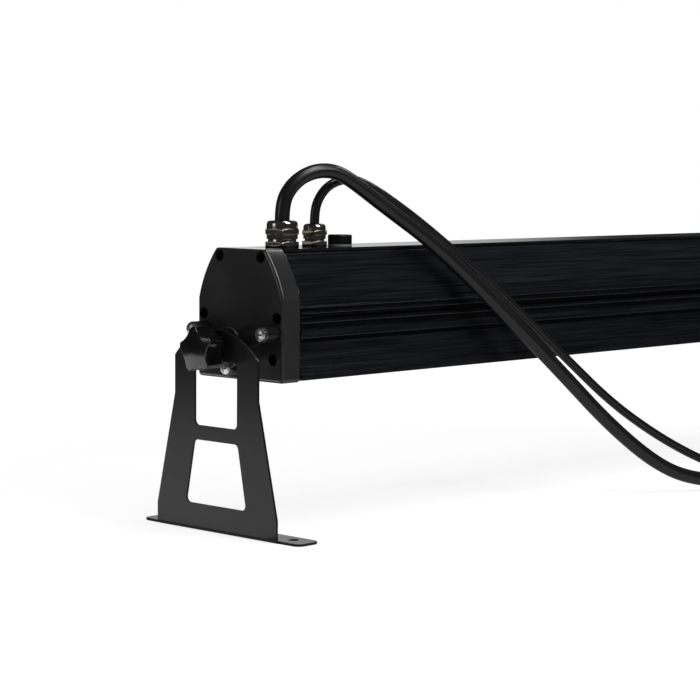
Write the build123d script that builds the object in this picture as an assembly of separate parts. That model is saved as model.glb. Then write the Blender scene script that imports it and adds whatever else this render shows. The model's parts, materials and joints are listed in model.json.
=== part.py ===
from build123d import *
import math
import os

# Outdoor linear floodlight: a bar lamp about a metre long, turned between two sheet metal feet.
# Millimetres. X runs along the bar, Y across it and Z up. The origin is on the floor, under the
# middle of the bar. The near end, with the cables, is at -X. The light leaves through the glass below.

# Bar and end caps
bar_length = 1000.0
cap_thickness = 18.0
cap_width = 93.4
cap_top_width = 54.0
cap_height = 100.0
cap_shoulder = 61.0
cap_side_bulge = 2.5
cap_corner_radius = 3.0
cap_edge_radius = 2.4
cap_pocket_depth = 11.0
gasket_thickness = 3.0
gasket_setback = 2.4

# Pivot above the floor, and above the lower edge of the cap
pivot_height = 141.0
pivot_rise = 25.5

# Extruded housing: heights are above the lower edge of the cap
profile_inset = 1.0
profile_lift = 1.0
profile_drop = 0.3
wall = 2.5
top_lip = 2.0
top_groove = 1.4
top_groove_depth = 1.6
slope_start_out = 0.6
slope_foot = 68.5
upper_setback = 3.2
fin_stack_top = 57.0
fin_thickness = 1.0
shallow_groove = 3.6
shallow_depth = 2.2
deep_groove = 6.1
deep_depth = 4.6
middle_groove = 5.2
middle_depth = 4.0
band_height = 5.9
low_groove = 3.7
low_depth = 6.0
side_ledges = (5.5, 11.2, 19.1)
ledge_step = 0.6
shelf_thickness = 4.0

# Glass and its seal
glass_thickness = 4.0
glass_recess = 1.0
glass_clearance = 0.3
rim_wall = 3.2
seal_thickness = 1.5
seal_width = 4.0
glass_ledge_width = 4.5
glass_ledge_thickness = 2.5

# End cap screws
cap_screw_radius = 2.5
cap_screw_head_radius = 4.3
cap_screw_head_height = 3.0
cap_screw_grip = 14.0
cap_recess_radius = 4.6
cap_recess_depth = 11.0
port_wall = 2.1
port_inset = 5.7
top_screw_inset = 4.5
top_screw_drop = 5.8
low_screw_inset = 10.7
low_screw_rise = 17.4
thread_clearance = 0.05
hole_clearance = 0.2

# Optics
led_count = 36
board_end_gap = 14.0
board_thickness = 1.6
emitter_size = 3.5
emitter_height = 1.2
lens_radius = 11.0
lens_neck_radius = 4.5
lens_throat_radius = 9.4
lens_height = 11.0
lens_flange = 2.0
lens_gap = 0.2
tray_wall = 2.0
tray_plate = 2.0
tray_side_gap = 1.0
board_screw_count = 6
board_screw_radius = 1.5
board_screw_head_radius = 2.8
board_screw_head_height = 1.8
board_screw_grip = 3.0

# Driver chamber
chassis_thickness = 1.5
chassis_side_gap = 2.0
chassis_lip = 8.0
chassis_start = 62.0
chassis_length = 560.0
driver_start = 280.0
driver_length = 260.0
driver_width = 58.0
driver_height = 30.0
driver_edge = 3.0
control_start = 120.0
control_length = 110.0
control_width = 50.0
control_standoff = 6.0
control_standoff_radius = 3.0
chip_height = 4.0
wire_radius = 1.6
inner_cable_gap = 5.0
lead_hole_clearance = 1.5

# Pivot stack, from the cap outwards
column_radius = 5.8
column_length = 11.5
pivot_plate_thickness = 2.5
pivot_screw_spread = 38.0
pivot_screw_up = 11.8
pivot_screw_down = 15.6
pivot_screw_radius = 2.0
pivot_screw_head_radius = 5.0
pivot_screw_head_height = 3.2
pivot_screw_grip = 8.0
hub_radius = 10.0
hub_length = 7.7
friction_washer_radius = 12.0
friction_washer_thickness = 1.0
stud_radius = 4.0
stud_head_radius = 7.5
stud_head_height = 5.0
stud_engagement = 12.5
running_clearance = 0.05
running_gap = 0.1

# Feet
foot_thickness = 2.0
foot_half_width = 45.7
foot_base_half_width = 65.8
foot_knee_height = 104.0
foot_skirt_height = 17.0
foot_top_radius = 59.5
foot_top_rise = 14.0
foot_flange_half_length = 86.2
foot_flange_depth = 26.0
foot_flange_corner = 6.0
foot_bend_radius = 3.0
foot_hole_radius = 3.75
foot_hole_spread = 69.0
foot_hole_inset = 15.0
window_half_width = 23.2
window_bottom = 81.2
window_top = 131.0
window_corner = 4.0
lower_window_top = 69.9
lower_window_bottom = 20.8
lower_window_top_half = 23.9
lower_window_bottom_half = 33.4

# Clamp knobs
knob_washer_radius = 11.0
knob_washer_thickness = 1.5
knob_hub_radius = 10.0
knob_hub_length = 4.0
knob_radius = 17.5
knob_length = 15.3
knob_crown = 2.6
knob_lobes = 5
knob_lobe_turn = 27.4
knob_scallop_radius = 15.0
knob_valley_radius = 13.0
knob_tip_radius = 2.5
knob_edge_radius = 1.2
knob_bore_spare = 1.5

# Cable glands on the back of the bar: distances are from the outer face of the near cap
power_from_end = 45.2
signal_from_end = 80.9
vent_from_end = 109.8
power_cable_radius = 5.8
signal_cable_radius = 3.7
power_hex = 26.0
signal_hex = 19.5
gland_gasket = 1.2
gland_thread_below = 9.0
gland_locknut = 4.5
gland_cable_gap = 0.6
gland_seal_gap = 0.05
power_gland_heights = {"base": 3.6, "neck": 1.8, "skirt": 3.6, "hex": 4.4, "dome": 6.4}
signal_gland_heights = {"base": 3.3, "neck": 1.5, "skirt": 3.2, "hex": 3.6, "dome": 5.2}
gland_dome_inset = 0.9
gland_neck_inset = 2.0
gland_thread_inset = 3.0
gland_nut_wall = 2.2
gland_top_round = 2.6

# Breather plug
vent_radius = 9.6
vent_height = 7.6
vent_ring = 1.3
vent_thread_radius = 6.0
vent_thread_length = 8.0
vent_edge = 0.8

# Free cables: places along the bar are from the outer face of the near cap
floor_gap = 0.2
tie_thickness = 1.3
tie_width = 5.0
tie_gap = 0.3
coil_gap = 0.8
power_coil_turns = 2.25
signal_coil_turns = 4.25
coil_across = 11.0
power_coil_centre = (752.0, -94.0)
signal_coil_centre = (597.0, -94.0)
power_tail = 62.0
signal_tail = 38.0

# Cable connectors
boot_length = 16.0
grip_length = 16.0
neck_length = 26.0
boot_wall = 1.2
neck_wall = 3.0
grip_step = 2.0
collar_step = 4.0
collar_back_length = 14.0
collar_length = 24.0
collar_flute_radius = 1.2
collar_flutes = 18
retainer_height = 1.3
retainer_length = 1.8
insert_wall = 1.6
insert_length = 18.0
contact_radius = 0.9
contact_depth = 4.0

# Worked out from the above
cap_face = bar_length / 2
cap_back = cap_face - cap_thickness
profile_end = cap_back - gasket_thickness
cap_bottom = pivot_height - pivot_rise
housing_top = cap_bottom + cap_height - profile_drop
near_face = -cap_face
side = cap_width / 2 - profile_inset
upper_side = side - upper_setback
top_side = cap_top_width / 2
profile_top = cap_height - profile_drop
groove1_top = fin_stack_top - fin_thickness
groove1_low = groove1_top - shallow_groove
groove2_top = groove1_low - fin_thickness
groove2_low = groove2_top - deep_groove
groove3_top = groove2_low - fin_thickness
groove3_low = groove3_top - middle_groove
groove4_top = groove3_low - band_height
groove4_low = groove4_top - low_groove
lower_side = side - len(side_ledges) * ledge_step
port_radius = cap_screw_radius + thread_clearance
boss_radius = port_radius + port_wall
shelf_bottom = groove4_low - wall
shelf_top = shelf_bottom + shelf_thickness
glass_bottom = profile_lift + glass_recess
glass_top = glass_bottom + glass_thickness
seal_top = glass_top + seal_thickness
ledge_top = seal_top + glass_ledge_thickness
pocket_side = side - rim_wall
glass_half = pocket_side - glass_clearance
lens_chamber_side = lower_side - wall
screw_spots = (
    (top_side - top_screw_inset, cap_height - top_screw_drop),
    (side - port_inset, groove2_top - port_radius),
    (cap_width / 2 - low_screw_inset, low_screw_rise),
)
chamber_side = min(
    screw_spots[1][0] - port_radius - wall,
    side - low_depth - wall,
    side - middle_depth - wall,
)
plate_start = cap_face + column_length
plate_end = plate_start + pivot_plate_thickness
hub_end = plate_end + hub_length
washer_end = hub_end + friction_washer_thickness
foot_inner = washer_end + running_gap
foot_outer = foot_inner + foot_thickness
knob_washer_start = foot_outer + running_gap
knob_start = knob_washer_start + knob_washer_thickness
knob_head_start = knob_start + knob_hub_length
knob_end = knob_head_start + knob_length + knob_crown
stud_end = knob_start + stud_engagement
stud_hole_radius = stud_radius + running_clearance

parts = {}


def add(name, shape):
    """Keeps a finished piece under its node's name."""
    parts[name] = shape


def slab(face, start, end):
    """Solid of a cross-section, drawn with Y to the right and Z up, between two places along X."""
    return extrude(Plane.YZ.offset(start) * face, amount=end - start)


def at_cap(y, z):
    """Place in a cross-section, with the height counted from the lower edge of the cap."""
    return Pos(y, cap_bottom + z)


def both_sides(half):
    """Closed face from the points of its right half, mirrored to the left."""
    left = [(-y, z) for y, z in reversed(half)]
    return at_cap(0, 0) * make_face(Polyline(*half, *left, close=True))


def band(half_width, low, high):
    """Rectangle across the bar between two heights above the cap's lower edge."""
    return at_cap(0, (low + high) / 2) * Rectangle(2 * half_width, high - low)


def six_spots():
    """The end cap's screw places, on both sides."""
    return [(sign * y, z) for y, z in screw_spots for sign in (-1, 1)]


def turned(*points):
    """Solid turned about Z from points of (radius, height)."""
    return revolve(Plane.XZ * make_face(Polyline(*points, close=True)), axis=Axis.Z)


def pan_screw(head_radius, head_height, shank_radius, shank_length):
    """Cross-recessed pan head screw along X, with the underside of its head at the origin."""
    body = turned(
        (0, head_height),
        (0.55 * head_radius, head_height),
        (0.88 * head_radius, 0.75 * head_height),
        (head_radius, 0.35 * head_height),
        (head_radius, 0),
        (shank_radius, 0),
        (shank_radius, -shank_length),
        (0, -shank_length),
    )
    slot = Pos(0, 0, head_height) * Box(1.1 * head_radius, 0.24 * head_radius, head_height)
    body = body - slot - Rot(0, 0, 90) * slot
    return Rot(0, 90, 0) * body


def profile_section():
    """Cross-section of the extruded housing, with its fins, chambers and screw ports."""
    half = [
        (top_side, profile_top),
        (top_side, profile_top - top_lip),
        (top_side - top_groove_depth, profile_top - top_lip),
        (top_side - top_groove_depth, profile_top - top_lip - top_groove),
        (top_side + slope_start_out, profile_top - top_lip - top_groove),
        (upper_side, slope_foot),
        (upper_side, fin_stack_top),
        (side, fin_stack_top),
    ]
    grooves = (
        (groove1_top, groove1_low, shallow_depth),
        (groove2_top, groove2_low, deep_depth),
        (groove3_top, groove3_low, middle_depth),
    )
    for high, low, depth in grooves:
        half += [(side, high), (side - depth, high), (side - depth, low), (side, low)]
    half += [(side, groove4_top), (side - low_depth, groove4_top), (side - low_depth, groove4_low)]
    reach = lower_side
    half.append((reach, groove4_low))
    for height in reversed(side_ledges):
        half += [(reach, height), (reach + ledge_step, height)]
        reach += ledge_step
    half.append((side, profile_lift))
    section = both_sides(half)

    # The driver chamber follows the sloping sides one wall in
    run = upper_side - top_side - slope_start_out
    drop = profile_top - top_lip - top_groove - slope_foot
    lean = run / drop
    shift = wall * math.hypot(run, drop) / drop
    chamber_top = profile_top - top_lip - wall / 2
    slope_y = lambda z: upper_side - shift - (z - slope_foot) * lean
    inner_side = upper_side - wall
    bend = slope_foot + (upper_side - shift - inner_side) / lean
    chamber = both_sides([
        (slope_y(chamber_top), chamber_top),
        (inner_side, bend),
        (inner_side, groove2_top + wall),
        (chamber_side, groove2_top + wall),
        (chamber_side, shelf_top),
    ])
    optics = band(lens_chamber_side, ledge_top, shelf_bottom)
    low_y, low_z = screw_spots[2]
    web = lens_chamber_side - low_y
    for sign in (-1, 1):
        top_y, top_z = screw_spots[0]
        chamber -= at_cap(sign * top_y, top_z) * Circle(boss_radius)
        optics -= at_cap(sign * low_y, low_z) * Circle(boss_radius)
        optics -= at_cap(sign * (low_y + web / 2), low_z) * Rectangle(web, 2 * boss_radius)
    section -= chamber
    section -= optics
    section -= band(pocket_side - glass_ledge_width, seal_top, ledge_top)
    section -= band(pocket_side, profile_lift, seal_top)
    for y, z in six_spots():
        section -= at_cap(y, z) * Circle(port_radius)
    return section


def cap_outline():
    """Front outline of an end cap: flat top, bowed shoulders and upright sides."""
    half = cap_width / 2
    chord = Vector(half - top_side, cap_shoulder - cap_height)
    outward = Vector(-chord.Y, chord.X).normalized() * cap_side_bulge
    middle = Vector((half + top_side) / 2, (cap_shoulder + cap_height) / 2) + outward
    edges = [
        Line((-top_side, cap_height), (top_side, cap_height)),
        ThreePointArc((top_side, cap_height), (middle.X, middle.Y), (half, cap_shoulder)),
        Line((half, cap_shoulder), (half, 0)),
        Line((half, 0), (-half, 0)),
        Line((-half, 0), (-half, cap_shoulder)),
        ThreePointArc((-half, cap_shoulder), (-middle.X, middle.Y), (-top_side, cap_height)),
    ]
    face = make_face(edges)
    corners = face.vertices().sort_by(Axis.Y)
    return at_cap(0, 0) * fillet([*corners[:2], *corners[-2:]], cap_corner_radius)


def pocket_outline():
    """Hollow in the back of a cap, clear of its screws."""
    half = screw_spots[2][0] - boss_radius - wall
    low = ledge_top
    high = screw_spots[0][1] - boss_radius - wall
    return band(half, low, high)


def pivot_spots():
    """The three pivot screws, as places in the cross-section."""
    return [
        (-pivot_screw_spread, pivot_height + pivot_screw_up),
        (pivot_screw_spread, pivot_height + pivot_screw_up),
        (0, pivot_height - pivot_screw_down),
    ]


def end_cap():
    """Cast cap with three columns for the pivot plate and six sunk screw holes."""
    body = slab(cap_outline(), cap_back, cap_face)
    rim = body.faces().sort_by(Axis.X)[-1].edges()
    body = fillet(rim, cap_edge_radius)
    for y, z in pivot_spots():
        place = Pos(y, z)
        body += slab(place * Circle(column_radius), cap_face - cap_edge_radius, plate_start)
    body -= slab(pocket_outline(), cap_back, cap_back + cap_pocket_depth)
    recess_floor = cap_face - cap_recess_depth
    for y, z in six_spots():
        body -= slab(at_cap(y, z) * Circle(cap_recess_radius), recess_floor, cap_face)
        body -= slab(at_cap(y, z) * Circle(cap_screw_radius + hole_clearance), cap_back, recess_floor)
    thread = pivot_screw_radius + thread_clearance
    for y, z in pivot_spots():
        start = plate_start - pivot_screw_grip - hole_clearance
        body -= slab(Pos(y, z) * Circle(thread), start, plate_start)
    return body


def end_gasket():
    """Flat rubber gasket between the housing and a cap, set in from the cap's edge."""
    face = offset(cap_outline(), -gasket_setback) - pocket_outline()
    for y, z in six_spots():
        face -= at_cap(y, z) * Circle(cap_screw_radius + hole_clearance)
    return slab(face, profile_end, cap_back)


def cap_screws():
    """Six screws in the sunk holes of a cap."""
    floor = cap_face - cap_recess_depth
    length = floor - profile_end + cap_screw_grip
    screw = pan_screw(cap_screw_head_radius, cap_screw_head_height, cap_screw_radius, length)
    return Compound([Pos(floor, y, cap_bottom + z) * screw for y, z in six_spots()])


def pivot_plate():
    """Three-armed plate on the columns, with the hub that spaces the foot."""
    face = Pos(0, pivot_height) * Circle(hub_radius + column_radius)
    for y, z in pivot_spots():
        rise = z - pivot_height
        reach = math.hypot(y, rise)
        arm = SlotCenterToCenter(reach, 2 * column_radius)
        turn = math.degrees(math.atan2(rise, y))
        face += Pos(y / 2, pivot_height + rise / 2) * Rot(0, 0, turn) * arm
    body = slab(face, plate_start, plate_end)
    body += slab(Pos(0, pivot_height) * Circle(hub_radius), plate_start, hub_end)
    body -= slab(Pos(0, pivot_height) * Circle(stud_hole_radius), plate_start, hub_end)
    for y, z in pivot_spots():
        body -= slab(Pos(y, z) * Circle(pivot_screw_radius + hole_clearance), plate_start, plate_end)
    return body


def pivot_screws():
    """Three bright screws that hold the pivot plate to its columns."""
    length = pivot_plate_thickness + pivot_screw_grip
    screw = pan_screw(pivot_screw_head_radius, pivot_screw_head_height, pivot_screw_radius, length)
    return Compound([Pos(plate_end, y, z) * screw for y, z in pivot_spots()])


def pivot_stud():
    """Threaded stud with a hexagon head behind the pivot plate."""
    centre = Pos(0, pivot_height)
    head = slab(centre * RegularPolygon(stud_head_radius, 6), plate_start - stud_head_height, plate_start)
    return head + slab(centre * Circle(stud_radius), plate_start, stud_end)


def ring(outer, inner, start, end):
    """Flat ring on the pivot line."""
    return slab(Pos(0, pivot_height) * (Circle(outer) - Circle(inner)), start, end)


def foot_outline():
    """Front outline of a foot's upright plate, without its windows."""
    arc_centre = pivot_height + foot_top_rise - foot_top_radius
    shoulder = arc_centre + math.sqrt(foot_top_radius**2 - foot_half_width**2)
    edges = [
        Line((-foot_base_half_width, 0), (foot_base_half_width, 0)),
        Line((foot_base_half_width, 0), (foot_base_half_width, foot_skirt_height)),
        Line((foot_base_half_width, foot_skirt_height), (foot_half_width, foot_knee_height)),
        Line((foot_half_width, foot_knee_height), (foot_half_width, shoulder)),
        ThreePointArc(
            (foot_half_width, shoulder),
            (0, pivot_height + foot_top_rise),
            (-foot_half_width, shoulder),
        ),
        Line((-foot_half_width, shoulder), (-foot_half_width, foot_knee_height)),
        Line((-foot_half_width, foot_knee_height), (-foot_base_half_width, foot_skirt_height)),
        Line((-foot_base_half_width, foot_skirt_height), (-foot_base_half_width, 0)),
    ]
    return make_face(edges)


def foot_windows():
    """The two openings in a foot: an upright one above a spreading one."""
    upper = Pos(0, (window_bottom + window_top) / 2) * RectangleRounded(
        2 * window_half_width, window_top - window_bottom, window_corner
    )
    spread = make_face(Polyline(
        (-lower_window_bottom_half, lower_window_bottom),
        (lower_window_bottom_half, lower_window_bottom),
        (lower_window_top_half, lower_window_top),
        (-lower_window_top_half, lower_window_top),
        close=True,
    ))
    return upper + fillet(spread.vertices(), window_corner)


def foot():
    """Sheet metal foot: upright plate and a base flange bent in under the cap."""
    face = foot_outline() - foot_windows() - Pos(0, pivot_height) * Circle(stud_hole_radius)
    bend_top = 2 * foot_bend_radius
    bend_in = foot_outer - bend_top
    face -= Pos(0, bend_top / 2) * Rectangle(2 * foot_base_half_width, bend_top)
    body = slab(face, foot_inner, foot_outer)
    corner = make_face(Polyline(
        (bend_in, 0),
        (foot_outer, 0),
        (foot_outer, bend_top),
        (foot_inner, bend_top),
        (foot_inner, foot_thickness),
        (bend_in, foot_thickness),
        close=True,
    ))
    outside = corner.vertices().sort_by_distance((foot_outer, 0))[0]
    corner = fillet(outside, foot_bend_radius)
    inside = corner.vertices().sort_by_distance((foot_inner, foot_thickness))[0]
    corner = fillet(inside, foot_bend_radius - foot_thickness)
    body += extrude(Plane.XZ * corner, amount=foot_base_half_width, both=True)
    flange_end = foot_outer - foot_flange_depth
    flange_start = foot_outer - foot_bend_radius
    flange = RectangleRounded(flange_start - flange_end, 2 * foot_flange_half_length, foot_flange_corner)
    body += Pos((flange_start + flange_end) / 2, 0, 0) * extrude(flange, amount=foot_thickness)
    hole = Cylinder(foot_hole_radius, 4 * foot_thickness)
    for sign in (-1, 1):
        body -= Pos(foot_outer - foot_hole_inset, sign * foot_hole_spread, 0) * hole
    return body


def knob():
    """Star knob with rounded lobes, a crowned face and a blind threaded bore."""
    reach = knob_valley_radius + knob_scallop_radius
    step = 360 / knob_lobes
    star = Circle(knob_radius)
    for i in range(knob_lobes):
        turn = math.radians(180 - knob_lobe_turn + (i + 0.5) * step)
        star -= Pos(reach * math.cos(turn), reach * math.sin(turn)) * Circle(knob_scallop_radius)
    star = fillet(star.vertices(), knob_tip_radius)
    centre = Pos(0, pivot_height)
    head = slab(centre * star, knob_head_start, knob_end)
    crown_radius = (knob_radius**2 + knob_crown**2) / (2 * knob_crown)
    head &= Pos(knob_end - crown_radius, 0, pivot_height) * Sphere(crown_radius)
    faces = head.faces().sort_by(Axis.X)
    head = fillet([*faces[0].edges(), *faces[-1].edges()], knob_edge_radius)
    body = head + slab(centre * Circle(knob_hub_radius), knob_start, knob_head_start + knob_edge_radius)
    return body - slab(centre * Circle(stud_hole_radius), knob_start, stud_end + knob_bore_spare)


def build_ends():
    """Pieces of both ends: made at the far end and mirrored to the near one."""
    pieces = {
        "end_cap": end_cap(),
        "end_gasket": end_gasket(),
        "cap_screws": cap_screws(),
        "pivot_plate": pivot_plate(),
        "pivot_screws": pivot_screws(),
        "pivot_stud": pivot_stud(),
        "friction_washer": ring(friction_washer_radius, stud_hole_radius, hub_end, washer_end),
        "foot": foot(),
        "knob_washer": ring(knob_washer_radius, stud_hole_radius, knob_washer_start, knob_start),
        "knob": knob(),
    }
    for name, shape in pieces.items():
        add(name + "_far", shape)
        add(name + "_near", mirror(shape, about=Plane.YZ))


def along(distance):
    """Place along X of a distance from the outer face of the near cap."""
    return near_face + distance


def led_places():
    """Places of the light points along the bar."""
    pitch = 2 * (profile_end - board_end_gap) / led_count
    return [(i - (led_count - 1) / 2) * pitch for i in range(led_count)]


def build_optics():
    """Glass, seal, board, light points, lenses and the tray that holds them."""
    length = 2 * profile_end
    add("cover_glass", slab(band(glass_half, glass_bottom, glass_top), -profile_end, profile_end))
    seal = Rectangle(length, 2 * glass_half)
    seal -= Rectangle(length - 2 * seal_width, 2 * (glass_half - seal_width))
    add("glass_seal", Pos(0, 0, cap_bottom + glass_top) * extrude(seal, amount=seal_thickness))

    board_end = profile_end - board_end_gap
    board_low = shelf_bottom - board_thickness
    tray_half = screw_spots[2][0] - boss_radius - tray_side_gap
    emitter_low = board_low - emitter_height
    lens_top = emitter_low - lens_gap
    lens_low = lens_top - lens_height
    plate_low = lens_low + lens_flange
    plate_top = plate_low + tray_plate
    places = led_places()
    board = slab(band(tray_half, board_low, shelf_bottom), -board_end, board_end)
    tray = slab(band(tray_half, plate_low, board_low), -board_end, board_end)
    tray -= slab(band(tray_half - tray_wall, plate_top, board_low), -board_end, board_end)
    standing = (Align.CENTER, Align.CENTER, Align.MIN)
    hole = Cylinder(lens_throat_radius + hole_clearance, tray_plate, align=standing)
    tray -= [Pos(x, 0, cap_bottom + plate_low) * hole for x in places]
    emitter = Box(emitter_size, emitter_size, emitter_height, align=standing)
    lens = turned(
        (0, lens_height),
        (lens_neck_radius, lens_height),
        (lens_throat_radius, lens_flange),
        (lens_radius, lens_flange),
        (lens_radius, 0),
        (0, 0),
    )
    add("lens_tray", tray)
    add("led_emitters", Compound([Pos(x, 0, cap_bottom + emitter_low) * emitter for x in places]))
    add("lenses", Compound([Pos(x, 0, cap_bottom + lens_low) * lens for x in places]))

    screw = Rot(0, 90, 0) * pan_screw(
        board_screw_head_radius,
        board_screw_head_height,
        board_screw_radius,
        board_thickness + board_screw_grip,
    )
    screw_y = tray_half - tray_wall - board_screw_head_radius - hole_clearance
    pitch = 2 * board_end / board_screw_count
    spots = [
        ((i - (board_screw_count - 1) / 2) * pitch, sign * screw_y)
        for i in range(board_screw_count)
        for sign in (-1, 1)
    ]
    add("board_screws", Compound([Pos(x, y, cap_bottom + board_low) * screw for x, y in spots]))
    bore = Cylinder(
        board_screw_radius + thread_clearance,
        board_thickness + board_screw_grip + hole_clearance,
        align=(Align.CENTER, Align.CENTER, Align.MIN),
    )
    bores = [Pos(x, y, cap_bottom + board_low) * bore for x, y in spots]
    add("led_board", board - bores)
    return bores


def wire(points, radius):
    """Round wire along straight runs joined by arcs."""
    return swept_tube(route_path(points), radius)


def chassis_floor():
    """Height of the chassis plate's upper face."""
    return cap_bottom + shelf_top + chassis_thickness


def lead_place():
    """Place along X where the light board's lead goes down through the shelf."""
    return along(chassis_start + chassis_length) + 2 * wire_radius + lead_hole_clearance


def build_driver():
    """Chassis, driver, control board and the wires between them."""
    half = chamber_side - chassis_side_gap
    start = along(chassis_start)
    end = start + chassis_length
    floor = chassis_floor()
    base_middle = floor - chassis_thickness / 2
    chassis = slab(Pos(0, base_middle) * Rectangle(2 * half, chassis_thickness), start, end)
    for sign in (-1, 1):
        lip = Rectangle(chassis_thickness, chassis_lip)
        place = Pos(sign * (half - chassis_thickness / 2), floor + chassis_lip / 2)
        chassis += slab(place * lip, start, end)
    low_corner = (Align.MIN, Align.CENTER, Align.MIN)
    driver = Box(driver_length, driver_width, driver_height, align=low_corner)
    driver = fillet(driver.edges().filter_by(Axis.X), driver_edge)
    add("driver_case", Pos(along(driver_start), 0, floor) * driver)

    standoff = Cylinder(
        control_standoff_radius, control_standoff, align=(Align.CENTER, Align.CENTER, Align.MIN)
    )
    inset = 2 * control_standoff_radius
    for x in (control_start + inset, control_start + control_length - inset):
        for y in (inset - control_width / 2, control_width / 2 - inset):
            chassis += Pos(along(x), y, floor) * standoff
    add("driver_chassis", chassis)
    board_low = floor + control_standoff
    board_top = board_low + board_thickness
    board = Box(control_length, control_width, board_thickness, align=low_corner)
    add("control_board", Pos(along(control_start), 0, board_low) * board)
    chip_spots = [
        (0.2, -0.2, 0.18),
        (0.45, 0.15, 0.26),
        (0.45, -0.28, 0.14),
        (0.72, -0.1, 0.2),
        (0.8, 0.25, 0.14),
    ]
    chips = []
    for share_x, share_y, share_size in chip_spots:
        size = share_size * control_width
        chip = Box(size, size, chip_height, align=(Align.CENTER, Align.CENTER, Align.MIN))
        place = Pos(along(control_start + share_x * control_length), share_y * control_width, board_top)
        chips.append(place * chip)
    add("control_chips", Compound(chips))

    # Supply cable from the power gland to the driver, over the control board
    power_x = along(power_from_end)
    drive_x = along(driver_start)
    high = board_top + chip_height + 2 * power_cable_radius
    middle = floor + driver_height / 2
    aside = -(power_cable_radius + signal_cable_radius + inner_cable_gap)
    add("power_inner_cable", wire(
        [
            (power_x, 0, power_mouth),
            (power_x, 0, high + 4 * power_cable_radius),
            (power_x + 3 * power_cable_radius, aside, high),
            (drive_x - 6 * power_cable_radius, aside, high - power_cable_radius),
            (drive_x - 2.5 * power_cable_radius, aside, middle),
            (drive_x, aside, middle),
        ],
        power_cable_radius,
    ))
    signal_x = along(signal_from_end)
    plug_x = along(control_start)
    plug_z = board_low + board_thickness / 2
    add("signal_inner_cable", wire(
        [
            (signal_x, 0, signal_mouth),
            (signal_x, 0, plug_z + 8 * signal_cable_radius),
            (signal_x + 2 * signal_cable_radius, 0, plug_z + 2 * signal_cable_radius),
            (plug_x - 3 * signal_cable_radius, 0, plug_z),
            (plug_x, 0, plug_z),
        ],
        signal_cable_radius,
    ))
    drive_end = along(driver_start + driver_length)
    drop_x = lead_place()
    add("board_lead", wire(
        [
            (drive_end, 0, middle),
            (drop_x, 0, middle),
            (drop_x, 0, cap_bottom + shelf_bottom),
        ],
        wire_radius,
    ))


def hexagon(across, start, height):
    """Upright hexagon prism, with a corner towards the front."""
    face = Rot(0, 0, 45) * RegularPolygon(across / 2, 6, major_radius=False)
    return Pos(0, 0, start) * extrude(face, amount=height)


def cone_trim(across, start, height):
    """Turned envelope that rounds off the corners of a hexagon."""
    corner = across / math.sqrt(3)
    rim = across / 2
    return turned(
        (0, start),
        (rim, start),
        (corner, start + (corner - rim) / 2),
        (corner, start + height - (corner - rim) / 2),
        (rim, start + height),
        (0, start + height),
    )


def gland_mouth(heights):
    """Height above the floor where a cable leaves its gland."""
    return housing_top + gland_gasket + sum(heights.values())


power_mouth = gland_mouth(power_gland_heights)
signal_mouth = gland_mouth(signal_gland_heights)


def gland_thread(across):
    """Thread radius of a gland, from its hexagon."""
    return across / 2 - gland_thread_inset


def build_gland(prefix, x, across, cable_radius, heights):
    """A plated cable gland in five pieces: gasket, body, seal, cap nut and locknut."""
    thread = gland_thread(across)
    bore = cable_radius + gland_cable_gap
    base_low = gland_gasket
    neck_low = base_low + heights["base"]
    skirt_low = neck_low + heights["neck"]
    hex_low = skirt_low + heights["skirt"]
    dome_low = hex_low + heights["hex"]
    top = dome_low + heights["dome"]
    neck = across / 2 - gland_neck_inset
    dome = across / 2 - gland_dome_inset
    cavity = dome - gland_nut_wall
    stem = cavity - thread_clearance
    stem_top = dome_low - gland_cable_gap
    seal_radius = (cavity + bore) / 2
    place = Pos(x, 0, housing_top)

    gasket = turned(
        (thread + hole_clearance, 0),
        (across / 2, 0),
        (across / 2, base_low),
        (thread + hole_clearance, base_low),
    )
    body = hexagon(across, base_low, heights["base"]) & cone_trim(across, base_low, heights["base"])
    body += turned(
        (0, -gland_thread_below),
        (thread, -gland_thread_below),
        (thread, base_low),
        (neck, base_low + heights["base"] / 2),
        (neck, skirt_low - thread_clearance),
        (stem, skirt_low - thread_clearance),
        (stem, stem_top),
        (0, stem_top),
    )
    body -= turned((0, -gland_thread_below), (bore, -gland_thread_below), (bore, neck_low), (0, neck_low))
    body -= turned((0, neck_low), (seal_radius, neck_low), (seal_radius, stem_top), (0, stem_top))

    seal_outer = seal_radius - gland_seal_gap
    seal_inner = cable_radius + gland_seal_gap
    lip = bore + gland_cable_gap
    seal = turned(
        (seal_inner, neck_low),
        (seal_outer, neck_low),
        (seal_outer, stem_top),
        (lip, stem_top),
        (lip, top - gland_cable_gap),
        (seal_inner, top - gland_cable_gap),
    )
    ring_top = hexagon(across, hex_low, heights["hex"]) & cone_trim(across, hex_low, heights["hex"])
    nut = ring_top + turned((0, skirt_low), (dome, skirt_low), (dome, hex_low + 1), (0, hex_low + 1))
    cap = turned(
        (0, dome_low - 1),
        (dome, dome_low - 1),
        (dome, top - gland_top_round),
        (dome - 0.3 * gland_top_round, top - 0.3 * gland_top_round),
        (dome - gland_top_round, top),
        (0, top),
    )
    nut += cap
    cavity_top = stem_top + thread_clearance
    nut -= turned((0, skirt_low), (cavity, skirt_low), (cavity, cavity_top), (0, cavity_top))
    nut -= turned((0, skirt_low), (lip + gland_seal_gap, skirt_low), (lip + gland_seal_gap, top), (0, top))
    nut_low = top_inner_drop() - gland_locknut
    locknut = hexagon(across, nut_low, gland_locknut) & cone_trim(across, nut_low, gland_locknut)
    locknut -= Pos(0, 0, nut_low) * Cylinder(
        thread + thread_clearance, gland_locknut, align=(Align.CENTER, Align.CENTER, Align.MIN)
    )
    add(prefix + "_gland_gasket", place * gasket)
    add(prefix + "_gland_body", place * body)
    add(prefix + "_gland_seal", place * seal)
    add(prefix + "_gland_nut", place * nut)
    add(prefix + "_gland_locknut", place * locknut)


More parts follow.
